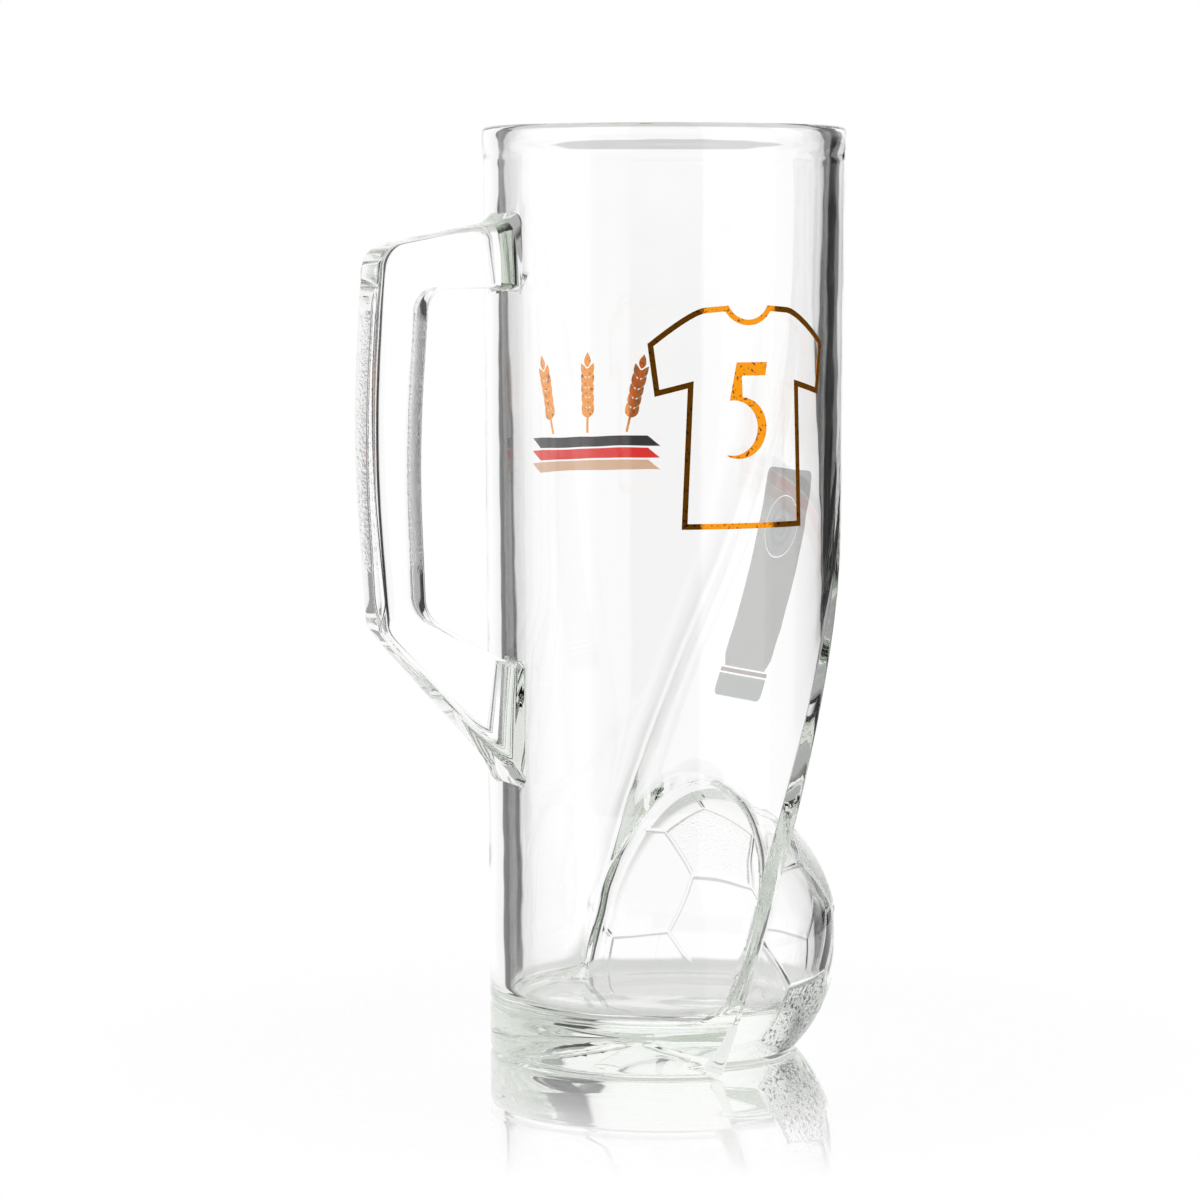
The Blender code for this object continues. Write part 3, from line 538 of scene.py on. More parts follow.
def near_ball(s, p):
    """Direction of each point from the ball's middle, its distance to the nearest seam, and how much it
    belongs to the bare ball: 1 on it, 0 on the fillet and elsewhere."""
    arm = p - ball_centre(s)
    distance = np.linalg.norm(arm, axis=-1)
    direction = arm / distance[..., None]
    away = nearest_panel(s, direction)[1]
    on_ball = 1.0 - smooth_step((np.abs(distance - s.ball_radius) - BALL_BAND) / BALL_FADE)
    return direction, away, on_ball * (p[..., 2] > s.foot_round)


def seam(s, mesh):
    """Cuts the ball's seams: faces near a seam are divided, and every point on the ball is put at its radius,
    less a bell curve of its distance to the nearest seam."""
    middles = read(mesh.polygons, "center")
    _, away, on_ball = near_ball(s, middles)
    picked = np.flatnonzero((away < 3 * s.seam_width) & (on_ball > 0.0))
    work = bmesh.new()
    work.from_mesh(mesh)
    work.faces.ensure_lookup_table()
    edges = {edge for number in picked for edge in work.faces[number].edges}
    bmesh.ops.subdivide_edges(work, edges=list(edges), cuts=2, use_grid_fill=True)
    work.to_mesh(mesh)
    work.free()
    points = read(mesh.vertices, "co")
    direction, away, on_ball = near_ball(s, points)
    radius = s.ball_radius - s.seam_depth * np.exp(-((away / s.seam_width) ** 2))
    sunk = ball_centre(s) + direction * radius[:, None]
    points += (sunk - points) * on_ball[:, None]
    mesh.vertices.foreach_set("co", points.ravel())
    mesh.shade_smooth()
    mesh.update()


def read(items, name):
    """A vector property of all the items, as an array of rows."""
    values = np.empty(len(items) * 3, np.float32)
    items.foreach_get(name, values)
    return values.reshape(-1, 3).astype(float)


def hub(s, z):
    """Middle of what the facet leaves of the foot, at height z."""
    return np.array([s.wall * 2, 0.0, z])


def tankard(s):
    """The vessel as one grid: from the middle of its underside out to the foot, up the outside, over the
    lip, down the inside and across the floor to its middle. Rows are rings, columns follow the facet's edge
    and the ball's."""
    top = s.height - s.lip_drop
    crease = s.facet_bend * CREASE_SHARE
    z = rows(0.0, *FOOT_RUNS, (crease, 46), (s.facet_bend, 14), (BEAD_START, 18), (top, 8))
    outer = ring_of(s, z, wall_radius(s, z), facet_reach(s, z), s.ball_radius)
    under = shrunk(outer[0], UNDER_SHARES, hub(s, 0.0))
    outer = settle(s, np.concatenate([under, outer]), outside)
    z = rows(top, (BEAD_START, 4), (s.facet_bend, 20), (crease, 10), *HOLLOW_RUNS, (s.base, 14))
    radius = wall_radius(s, np.minimum(z, s.height - s.bead_height)) - wall_depth(s, z)
    inner = ring_of(s, z, radius, facet_reach(s, z) - s.facet_wall, s.ball_radius - s.ball_wall)
    bottom = shrunk(inner[-1], FLOOR_SHARES, hub(s, s.base))
    inner = settle(s, np.concatenate([inner, bottom]), inside)
    first, last = outer[-1], inner[0]
    first_out, last_out = np.hypot(first[:, 0], first[:, 1]), np.hypot(last[:, 0], last[:, 1])
    t = np.linspace(0.0, math.pi, LIP_POINTS)[1:-1, None]
    side = np.sign(np.cos(t)) * np.abs(np.cos(t)) ** LIP_POWER
    out = (first_out + last_out) / 2 + (first_out - last_out) / 2 * side
    lip = first * (out / first_out)[..., None]
    lip[..., 2] = top + s.lip_drop * np.sin(t) ** LIP_POWER
    return np.concatenate([outer, lip, inner])


def closed_grid(grid, poles):
    """Faces of a grid whose rows are closed rings, ended by two poles or, without them, by two flat caps."""
    count, across = grid.shape[:2]
    number = np.arange(count * across).reshape(count, across)
    after = np.roll(number, -1, axis=1)
    faces = np.stack([number[:-1], after[:-1], after[1:], number[1:]], axis=-1).reshape(-1, 4).tolist()
    points = grid.reshape(-1, 3)
    if poles is None:
        faces += [number[0][::-1].tolist(), number[-1].tolist()]
        return points, faces
    low = len(points)
    faces += np.stack([after[0], number[0], 0 * number[0] + low], axis=-1).tolist()
    faces += np.stack([number[-1], after[-1], 0 * number[0] + low + 1], axis=-1).tolist()
    return np.concatenate([points, poles]), faces


def solid(name, points, faces):
    """A closed mesh whose faces point outwards, turned round where its volume comes out negative."""
    mesh = bpy.data.meshes.new(name)
    mesh.from_pydata(points.tolist(), [], faces)
    mesh.validate()
    mesh.calc_loop_triangles()
    corners = np.empty(len(mesh.loop_triangles) * 3, np.int32)
    mesh.loop_triangles.foreach_get("vertices", corners)
    if np.linalg.det(points[corners.reshape(-1, 3)]).sum() < 0:
        mesh.flip_normals()
    mesh.shade_smooth()
    return mesh


def add_piece(name, mesh, finish, slot, *nodes):
    """An object that rides on the mug, takes a finish and stands for the CAD nodes named."""
    piece = bpy.data.objects.new(name, mesh)
    bpy.context.scene.collection.objects.link(piece)
    mesh.materials.clear()
    mesh.materials.append(finish)
    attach(piece, "root")
    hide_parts(*nodes)
    return piece


def rounded_line(points, radii):
    """Points along a line of straight runs whose corners are rounded by the given radii."""
    points = [np.array(p) for p in points]
    runs = []
    start = points[0]
    share = np.linspace(0.0, 1.0, RUN_STEPS, endpoint=False)[:, None]
    for before, corner, after, radius in zip(points, points[1:], points[2:], radii):
        come = (corner - before) / np.linalg.norm(corner - before)
        go = (after - corner) / np.linalg.norm(after - corner)
        half_turn = math.acos(np.clip(come @ go, -1.0, 1.0)) / 2
        reach = radius * math.tan(half_turn)
        inward = (go - come) / np.linalg.norm(go - come)
        centre = corner + inward * radius / math.cos(half_turn)
        runs.append(start + (corner - come * reach - start) * share)
        swing = np.linspace(-half_turn, half_turn, ARC_STEPS, endpoint=False)[:, None]
        along = (come + go) / np.linalg.norm(come + go)
        runs.append(centre - inward * radius * np.cos(swing) + along * radius * np.sin(swing))
        start = corner + go * reach
    runs.append(start + (points[-1] - start) * np.append(share, 1.0)[:, None])
    return np.concatenate(runs)


def handle_outlines(s, h):
    """The handle's outer and inner outlines in XZ, as many points on each: the arm falls a little to its
    outer corner, the grip bows outwards, and the lower arm runs back at a slant and deepens to its seat."""
    seat = float(wall_radius(s, s.height / 2))
    sunk = seat - h.pad_sink
    arm_top = s.height - h.arm_top
    grip_x = seat + h.reach
    grip_top = grip_x - h.bow_above
    grip_low = grip_x - h.bow_below
    corner_z = arm_top - h.arm_fall
    low_z = corner_z - h.grip_length
    foot_z = s.height - h.seat_drop
    arm_slope = h.arm_fall / (grip_top - seat)
    low_slope = (low_z - foot_z) / (grip_low - seat)
    outer = [
        (sunk, arm_top + arm_slope * h.pad_sink),
        (grip_top, corner_z),
        (grip_x, (corner_z + low_z) / 2),
        (grip_low, low_z),
        (sunk, foot_z - low_slope * h.pad_sink),
    ]
    under = arm_top - h.arm_depth
    inner_x = grip_x - h.grip_depth
    inner_end = inner_x - h.bow_below / 2
    inner_low = low_z + h.grip_depth / 4
    inner_foot = foot_z + h.seat_depth
    inner_slope = (inner_low - inner_foot) / (inner_end - seat)
    inner = [
        (sunk, under),
        (grip_top - h.grip_depth, under),
        (inner_x, (under + inner_low) / 2),
        (inner_end, inner_low),
        (sunk, inner_foot - inner_slope * h.pad_sink),
    ]
    outside_line = rounded_line(outer, [h.outer_corner, h.bow_radius, h.outer_corner])
    inside_line = rounded_line(inner, [h.inner_corner, h.bow_radius, h.lower_corner])
    return outside_line, inside_line


def bar(s, h):
    """The handle as a rounded oblong carried along its two outlines, flared where it meets the wall."""
    outer, inner = handle_outlines(s, h)
    middle = (outer + inner) / 2
    across = outer - inner
    depth = np.linalg.norm(across, axis=1)
    across = across / depth[:, None]
    clear = middle[:, 0] - float(wall_radius(s, s.height / 2))
    flare = np.clip(1.0 - clear / h.pad_length, 0.0, 1.0) ** 2
    half_depth = (depth / 2 + flare * h.pad_deepening)[:, None]
    half_width = (h.grip_width / 2 + flare * h.pad_flare)[:, None]
    corner = np.linspace(0.0, 0.5 * math.pi, EDGE_STEPS)
    turn = np.concatenate([corner + quarter * 0.5 * math.pi for quarter in range(4)])
    lean = np.repeat(np.array([(1, 1), (-1, 1), (-1, -1), (1, -1)]), len(corner), axis=0)
    edge = np.where(lean[:, 0] > 0, h.edge_round, h.finger_round)
    out = edge * np.cos(turn) + lean[:, 0] * (half_depth - edge)
    side = edge * np.sin(turn) + lean[:, 1] * (half_width - edge)
    x = middle[:, :1] + across[:, :1] * out
    z = middle[:, 1:] + across[:, 1:] * out
    return np.stack([x, side, z], axis=-1)


def fused(name, first, second):
    """Two closed meshes joined into one body by a Boolean union."""
    made = [bpy.data.objects.new(name, first), bpy.data.objects.new(name + "_joined", second)]
    for piece in made:
        bpy.context.scene.collection.objects.link(piece)
    union = made[0].modifiers.new("fuse", "BOOLEAN")
    union.operation = "UNION"
    union.solver = "MANIFOLD"
    union.object = made[1]
    bpy.context.view_layer.update()
    joined = bpy.data.meshes.new_from_object(made[0].evaluated_get(bpy.context.evaluated_depsgraph_get()))
    for piece in made:
        bpy.data.objects.remove(piece)
    if len(joined.vertices) <= len(first.vertices):
        raise RuntimeError("the handle didn't fuse with the vessel")
    joined.name = name
    joined.shade_smooth()
    joined.set_sharp_from_angle(angle=SHARP_ANGLE)
    return joined


def paired(first, second, step, closed=False):
    """Two edges with matching corners, both cut into as many even steps between corners, so that no step is
    longer than `step`."""
    edges = [np.asarray(edge, float) for edge in (first, second)]
    if closed:
        edges = [np.vstack([edge, edge[:1]]) for edge in edges]
    lengths = np.max([np.linalg.norm(np.diff(edge, axis=0), axis=1) for edge in edges], axis=0)
    counts = [max(1, math.ceil(length / step)) for length in lengths]
    at = np.concatenate([i + np.linspace(0, 1, count, endpoint=False) for i, count in enumerate(counts)])
    if not closed:
        at = np.append(at, len(lengths))
    corners = np.arange(len(edges[0]))
    return [np.stack([np.interp(at, corners, edge[:, k]) for k in (0, 1)], axis=1) for edge in edges]


def film(name, first, second, across, closed, place, p):
    """A thin film between two edges: the straight lines from one edge to the other, laid on the glass by
    `place`, with a face towards the glass, one away from it, and a rim round both."""
    share = np.linspace(0.0, 1.0, across)[None, :, None]
    flat = first[:, None] * (1 - share) + second[:, None] * share
    ring = np.concatenate([place(flat, p.film_gap + p.film), place(flat[:, ::-1], p.film_gap)], axis=1)
    if closed:
        points, faces = closed_grid(np.concatenate([ring, ring[:1]]), None)
        count = len(ring) * 2 * across
        points, faces = points[:count], [[v % count for v in face] for face in faces[:-2]]
    else:
        points, faces = closed_grid(ring, None)
    mesh = solid(name, points, faces)
    mesh.set_sharp_from_angle(angle=SHARP_ANGLE)
    return mesh


def on_wall(s, side):
    """Lays (along, height) points on the round wall, as they look from outside at +Y or -Y."""

    def place(flat, off):
        along, z = flat[..., 0], flat[..., 1]
        radius = wall_radius(s, z)
        turn = along / radius
        out = side * (radius + off)
        return np.stack([-out * np.sin(turn), out * np.cos(turn), z], axis=-1)

    return place


def on_facet(s):
    """Lays (across, height) points on the facet."""

    def place(flat, off):
        across, z = flat[..., 0], flat[..., 1]
        return np.stack([-facet_reach(s, z) - off * math.hypot(1.0, facet_slope(s)), across, z], axis=-1)

    return place


def arc(centre, radius, start, end, steps):
    turn = np.radians(np.linspace(start, end, steps + 1))
    return np.stack([centre[0] + radius * np.cos(turn), centre[1] + radius * np.sin(turn)], axis=1)


def circle(centre, radius, steps):
    return arc(centre, radius, 0.0, 360.0, steps)[:-1]


def inset(loop, width):
    """A closed outline moved inwards by a width, corner by corner along each corner's bisector."""
    come = loop - np.roll(loop, 1, axis=0)
    go = np.roll(loop, -1, axis=0) - loop
    come = come / np.linalg.norm(come, axis=1)[:, None]
    go = go / np.linalg.norm(go, axis=1)[:, None]
    left_come = np.stack([-come[:, 1], come[:, 0]], axis=1)
    left_go = np.stack([-go[:, 1], go[:, 0]], axis=1)
    bisector = left_come + left_go
    return loop + bisector / (1.0 + (left_come * left_go).sum(axis=1))[:, None] * width


def shirt_loop(p):
    """A plain football shirt, counter-clockwise: hem, side, cuff, and a shoulder that is a quadratic curve
    from the sleeve's tip to the neck's arc."""
    top, bottom = SHIRT_HIGH.z, SHIRT_LOW.z
    radius = ((p.neck_width / 2) ** 2 + p.neck_dip**2) / (2 * p.neck_dip)
    turn = math.degrees(math.asin(p.neck_width / 2 / radius))
    neck = arc((0.0, top - p.neck_dip + radius), radius, -90 + turn, -90 - turn, NECK_STEPS)
    tip = np.array([p.sleeve_span / 2, top - p.sleeve_drop])
    start = np.array([p.shoulder_width / 2, top - p.shoulder_drop])
    bend = start + SHOULDER_BEND
    t = np.linspace(0.0, 1.0, SHOULDER_POINTS)[:, None]
    shoulder = tip * (1 - t) ** 2 + bend * 2 * t * (1 - t) + start * t**2
    hem, armpit = (p.hem_width / 2, bottom), (p.chest_width / 2, top - p.armpit_drop)
    cuff = (p.cuff_span / 2, top - p.cuff_drop)
    right = np.concatenate([[hem, armpit, cuff], shoulder])
    loop = np.concatenate([right, neck, right[::-1] * (-1, 1)])
    return loop + (p.shirt_shift, 0.0)


def numeral_edges(p):
    """The two edges of a plain 5: from the tail round the bowl, a crescent between two circles, up a leaning
    stem and along the flag."""
    right = p.numeral_width - p.bowl_radius
    inner = p.bowl_radius - p.bowl_thinning
    inner_right = p.numeral_width - p.numeral_stroke - inner
    height = NUMERAL_HIGH.z - NUMERAL_LOW.z
    flag = height - p.flag_height
    outer_bowl = arc((right, p.bowl_rise), p.bowl_radius, *BOWL_OUTER, BOWL_STEPS)
    inner_bowl = arc((inner_right, p.bowl_rise), inner, *BOWL_INNER, BOWL_STEPS)
    lower_flag = [(p.stem_left + p.stem_width, flag), (p.numeral_width - p.flag_slant, flag)]
    upper_flag = [(p.stem_left, height), (p.numeral_width, height)]
    shift = (p.shirt_shift - p.numeral_width / 2, NUMERAL_LOW.z)
    return np.concatenate([outer_bowl, lower_flag]) + shift, np.concatenate([inner_bowl, upper_flag]) + shift


def leaf(foot, length, half_width, lean):
    """The two edges of a grain: a lens from its foot to its tip, its half width a sine of the way along."""
    t = np.linspace(LEAF_TRIM, 1.0 - LEAF_TRIM, LEAF_POINTS)
    wide = half_width * np.sin(math.pi * t**LEAF_POWER)
    along, aside = np.array([math.sin(lean), math.cos(lean)]), np.array([math.cos(lean), -math.sin(lean)])
    spine = np.array(foot) + np.outer(t * length, along)
    return spine - np.outer(wide, aside), spine + np.outer(wide, aside)


def ear(p, step, place):
    """An ear of barley: a stem, a grain at its tip and pairs of grains that lean out from it, all turned
    about the stem's foot."""
    pair = (p.ear_length - p.ear_stem) / (EAR_PAIRS + 1)
    tip = TIP_LENGTH * pair
    strips = [leaf((0.0, p.ear_length - tip), tip, p.ear_half_width * TIP_WIDTH, 0.0)]
    t = np.linspace(0.0, 1.0, STEM_POINTS)
    stem = np.stack([0 * t, t * (p.ear_length - STEM_END * pair)], axis=1)
    strips.append((stem - (p.stem_half, 0.0), stem + (p.stem_half, 0.0)))
    for row, side in itertools.product(range(EAR_PAIRS), (-1, 1)):
        foot = (side * GRAIN_OFFSET, p.ear_stem + (row - FIRST_PAIR) * pair)
        strips.append(leaf(foot, GRAIN_LENGTH * pair, p.ear_half_width * GRAIN_WIDTH, side * GRAIN_LEAN))
    lean = p.ear_lean * step
    turn = np.array([(math.cos(lean), -math.sin(lean)), (math.sin(lean), math.cos(lean))])
    shift = np.array([step * p.ear_spacing, EAR_LOW.z])
    points, faces = [], []
    for first, second in strips:
        mesh = film("strip", first @ turn + shift, second @ turn + shift, LINE_POINTS, False, place, p)
        base = len(points)
        points += [tuple(v.co) for v in mesh.vertices]
        faces += [[base + v for v in face.vertices] for face in mesh.polygons]
        bpy.data.meshes.remove(mesh)
    made = bpy.data.meshes.new("ear")
    made.from_pydata(points, [], faces)
    made.shade_smooth()
    made.set_sharp_from_angle(angle=SHARP_ANGLE)
    return made


def oblong_around(middle, degrees, half_width, bottom, top, round_top):
    """Points of a rectangle's outline in given directions from a middle point, its upper corners rounded."""
    turn = np.radians(degrees)
    out = np.stack([np.cos(turn), np.sin(turn)], axis=1)
    with np.errstate(divide="ignore"):
        side = np.abs(half_width / out[:, 0])
        level = np.where(out[:, 1] > 0, (top - middle[1]) / out[:, 1], (bottom - middle[1]) / out[:, 1])
    reach = np.minimum(side, np.abs(level))
    flat = np.array(middle) + out * reach[:, None]
    corner = np.array([half_width - round_top, top - round_top])
    off = np.stack([np.abs(flat[:, 0]), flat[:, 1]], axis=1) - corner
    far = np.linalg.norm(off, axis=1)
    cut = (off > 0).all(axis=1)
    off[cut] *= (round_top / far[cut])[:, None]
    flat[cut] = np.stack([np.sign(flat[cut, 0]) * (corner[0] + off[cut, 0]), corner[1] + off[cut, 1]], axis=1)
    return flat


def fill(tree, made, values):
    """Sets a node's inputs: an output socket is linked, and a colour of three parts is made opaque."""
    for name, value in values.items():
        socket = made.inputs[name]
        if isinstance(value, bpy.types.NodeSocket):
            tree.links.new(value, socket)
        elif socket.type == "RGBA":
            socket.default_value = (*value, 1.0)
        else:
            socket.default_value = value
    return made


def node(tree, kind, values=None, **settings):
    """A shader node with its settings and its input values."""
    made = tree.nodes.new("ShaderNode" + kind)
    for name, value in settings.items():
        setattr(made, name, value)
    return fill(tree, made, values or {})


def maths(tree, operation, *values, clamp=False):
    """The result of a sum, by the name of the operation."""
    return node(tree, "Math", dict(enumerate(values)), operation=operation, use_clamp=clamp).outputs[0]


def span(tree, value, low, high, start=0.0, end=1.0):
    """A value carried from the range low to high over to the range start to end, and held outside it."""
    values = {"Value": value, "From Min": low, "From Max": high, "To Min": start, "To Max": end}
    return node(tree, "MapRange", values).outputs["Result"]


def ramp(tree, value, stops):
    """A colour ramp of grey levels through (place, level) stops."""
    made = node(tree, "ValToRGB", {"Fac": value})
    bar = made.color_ramp
    for index, (at, level) in enumerate(stops):
        stop = bar.elements[index] if index < 2 else bar.elements.new(at)
        stop.position = at
        stop.color = (*grey(level), 1.0)
    return made.outputs["Color"]


def mixed(tree, share, first, second):
    """A blend of two colours; each is a colour or an output socket."""
    return node(tree, "Mix", {0: share, 6: first, 7: second}, data_type="RGBA").outputs[2]


def grey(level):
    return (level, level, level)


def group(name, inputs, outputs, build):
    """A node group with named sockets, filled by `build`."""
    tree = bpy.data.node_groups.new(name, "ShaderNodeTree")
    for label, kind in inputs:
        tree.interface.new_socket(label, in_out="INPUT", socket_type="NodeSocket" + kind)
    for label, kind in outputs:
        tree.interface.new_socket(label, in_out="OUTPUT", socket_type="NodeSocket" + kind)
    start = tree.nodes.new("NodeGroupInput")
    end = tree.nodes.new("NodeGroupOutput")
    for label, socket in build(tree, start.outputs).items():
        tree.links.new(socket, end.inputs[label])
    return tree


def new_material(name):
    made = bpy.data.materials.new(name)
    made.use_nodes = True
    tree = made.node_tree
    shader = tree.nodes["Principled BSDF"]
    place = tree.nodes.new("ShaderNodeTexCoord").outputs["Object"]
    return made, tree, shader, place


def grain(tree, place, scale, limit=0.0):
    """Fine grain on a place, from a shared group: a speckle mask, where noise of a given size passes a limit,
    and a soft height."""

    def build(tree, given):
        noise = node(tree, "TexNoise", {"Vector": given["Vector"], "Scale": given["Scale"], "Detail": 3.0})
        mask = span(tree, noise.outputs["Fac"], given["Limit"], 1.0)
        return {"Mask": maths(tree, "MULTIPLY", mask, 9.0, clamp=True), "Height": noise.outputs["Fac"]}

    sockets = [("Vector", "Vector"), ("Scale", "Float"), ("Limit", "Float")]
    shared = bpy.data.node_groups.get("fine grain")
    shared = shared or group("fine grain", sockets, [("Mask", "Float"), ("Height", "Float")], build)
    return node(tree, "Group", {"Vector": place, "Scale": scale, "Limit": limit}, node_tree=shared).outputs


def frosting(s, h, points, normals):
    """How rough each point is: the ball's five-sided panels inside their seams, the upper ones fainter and
    the far ones clear, and the grip's finger side."""
    direction, away, on_ball = near_ball(s, points)
    panel = nearest_panel(s, direction)[0]
    in_front = -points[:, 0] > facet_reach(s, points[:, 2]) + s.ball_fillet / 3
    pebbled = (on_ball > 0.0) * in_front * (panel < PENTAGONS)
    pebbled = pebbled * smooth_step((away - s.seam_width) / s.seam_width)
    near = direction[:, 1] > PEBBLE_FACING
    pebbled = pebbled * np.where(direction[:, 2] > PEBBLE_FACING, FAINT_PEBBLE, near)
    seat = float(wall_radius(s, s.height / 2))
    top = s.height - h.arm_top - h.arm_depth - h.inner_corner
    low = s.height - h.arm_top - h.arm_fall - h.grip_length + h.grip_depth
    grip = (points[:, 0] > seat + h.pad_length) * smooth_step((top - points[:, 2]) / GRIP_TOP_FADE)
    grip = grip * smooth_step((points[:, 2] - low) / GRIP_LOW_FADE)
    grip = grip * smooth_step((-normals[:, 0] - FINGER_FACING) / FINGER_FADE)
    return np.maximum(pebbled, GRIP_FROST * grip)


def glass_finish(s):
    """Clear pressed glass: slow waves in the wall, fine grain and painted shade, near black, in pits where
    the mesh says it is frosted, a slightly rough handle, and a green cast in its depth."""
    made, tree, shader, place = new_material("clear glass")
    across = node(tree, "SeparateXYZ", {"Vector": place}).outputs["X"]
    pressed = maths(tree, "GREATER_THAN", across, rim_radius(s) + HANDLE_CLEAR)
    pressed = maths(tree, "MULTIPLY", pressed, s.handle_roughness)
    frosted = node(tree, "Attribute", attribute_name="frosting").outputs["Fac"]
    wave = node(tree, "TexNoise", {"Vector": place, "Scale": 90.0, "Detail": 1.0}).outputs["Fac"]
    slow = node(tree, "Bump", {"Strength": 0.12, "Distance": 0.0004, "Height": wave}).outputs["Normal"]
    height = maths(tree, "MULTIPLY", grain(tree, place, scale=1300.0)["Height"], frosted)
    fine = node(tree, "Bump", {"Strength": 0.8, "Distance": 0.0005, "Height": height, "Normal": slow})
    # Painted shade: where the panels are fully frosted, the speckle takes the near-black pit colour for the
    # shade in the pebbling
    pits = grain(tree, place, scale=1200.0, limit=0.54)["Mask"]
    pits = maths(tree, "MULTIPLY", span(tree, frosted, 0.5, 1.0), pits)
    values = {
        "Base Color": mixed(tree, pits, s.tint, s.pit_shade),
        "Roughness": maths(tree, "MULTIPLY_ADD", frosted, FROST_ROUGHNESS, pressed),
        "IOR": 1.52,
        "Transmission Weight": 1.0,
        "Normal": fine.outputs["Normal"],
    }
    fill(tree, shader, values)
    depth = node(tree, "VolumeAbsorption", {"Color": s.body_tint, "Density": s.body_density})
    fill(tree, tree.nodes["Material Output"], {"Volume": depth.outputs["Volume"]})
    return made


def gold_finish(p):
    """Fired-on metallic gold with pin holes in it, made once for all the gold prints."""
    if "gold print" in bpy.data.materials:
        return bpy.data.materials["gold print"]
    made, tree, shader, place = new_material("gold print")
    specks = grain(tree, place, scale=1500.0, limit=0.60)
    bump = node(tree, "Bump", {"Strength": 0.10, "Distance": 0.0001, "Height": specks["Height"]})
    values = {
        "Base Color": mixed(tree, specks["Mask"], p.gold, p.speck),
        "Metallic": 1.0,
        "Roughness": 0.06,
        "Normal": bump.outputs["Normal"],
    }
    fill(tree, shader, values)
    return made


def enamel_finish(name, base, cover=1.0, clear=0.0):
    """Plain fired-on enamel; a cover under 1 lets the glass behind it show, and clear is the share of the
    light that goes straight through in the enamel's own colour."""
    made, tree, shader, place = new_material(name)
    values = {"Base Color": base, "Roughness": ENAMEL_ROUGHNESS, "Specular IOR Level": 0.0, "Alpha": cover}
    if clear:
        values |= {"Transmission Weight": clear, "IOR": 1.0}
    fill(tree, shader, values)
    return made


def roundel_finish(p, centre):
    """Blue-grey enamel with paler rings, by the distance from the roundel's middle."""
    made, tree, shader, place = new_material("roundel print")
    away = node(tree, "VectorMath", {0: place, 1: centre}, operation="DISTANCE").outputs["Value"]
    stops = [(at / p.roundel, level) for at, level in ROUNDEL_RINGS]
    level = ramp(tree, maths(tree, "DIVIDE", away, p.roundel), stops)
    base = mixed(tree, level, p.roundel_core, p.roundel_ring)
    fill(tree, shader, {"Base Color": base, "Roughness": ENAMEL_ROUGHNESS, "Alpha": p.label_cover})
    return made


class MUG_OT_glass(Operator):
    """Make the vessel and its handle as one body of glass"""

    bl_idname = "mug.glass"
    bl_label = "Glass"

    def execute(self, context):
        s, h = context.scene.mug_glass, context.scene.mug_handle
        grid = tankard(s)
        poles = np.array([hub(s, 0.0), hub(s, grid[-1, :, 2].mean())])
        vessel = solid("vessel", *closed_grid(grid, poles))
        seam(s, vessel)
        handle = solid("handle", *closed_grid(bar(s, h), None))
        mesh = fused("mug_glass", vessel, handle)
        rough = frosting(s, h, read(mesh.vertices, "co"), read(mesh.vertex_normals, "vector"))
        mesh.attributes.new("frosting", "FLOAT", "POINT").data.foreach_set("value", rough.astype(np.float32))
        add_piece("mug_glass", mesh, glass_finish(s), "vessel", "vessel", "handle")
        return {"FINISHED"}


class MUG_OT_shirt(Operator):
    """Print the gold shirt and its numeral on the side wall"""

    bl_idname = "mug.shirt"
    bl_label = "Shirt print"

    def execute(self, context):
        s, p = context.scene.mug_glass, context.scene.mug_prints
        gold = gold_finish(p)
        loop = shirt_loop(p)
        first, second = paired(loop, inset(loop, p.shirt_line), FILM_STEP, closed=True)
        mesh = film("gold_shirt", first, second, LINE_POINTS, True, on_wall(s, 1), p)
        add_piece("gold_shirt", mesh, gold, "shirt_outline", "shirt_outline")
        first, second = paired(*numeral_edges(p), FINE_STEP)
        mesh = film("gold_numeral", first, second, STROKE_POINTS, False, on_wall(s, 1), p)
        add_piece("gold_numeral", mesh, gold, "shirt_numeral", "shirt_numeral")
        return {"FINISHED"}


class MUG_OT_ornament(Operator):
    """Print the ears of barley and the stripes on the other side wall"""

    bl_idname = "mug.ornament"
    bl_label = "Barley print"

    def execute(self, context):
        s, p = context.scene.mug_glass, context.scene.mug_prints
        gold = gold_finish(p)
        place = on_wall(s, -1)
        for name, step in (("left", -1), ("centre", 0), ("right", 1)):
            mesh = ear(p, step, place)
            mesh.name = "ear_" + name
            add_piece("ear_" + name, mesh, gold, "barley_ears", "barley_ear_" + name)
        colours = {"black": p.black, "red": p.red, "gold": p.yellow}
        for name, base in colours.items():
            low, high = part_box("stripe_" + name)
            half = p.stripe / 2
            under = np.array([(-half, low.z), (half - p.stripe_slant, low.z)])
            over = np.array([(-half + p.stripe_slant, high.z), (half, high.z)])
            mesh = film("stripe_" + name, *paired(under, over, FILM_STEP), LINE_POINTS, False, place, p)
            finish = enamel_finish(name + " print", base, clear=p.stripe_clear)
            add_piece("printed_" + name + "_stripe", mesh, finish, "stripe_" + name, "stripe_" + name)
        return {"FINISHED"}


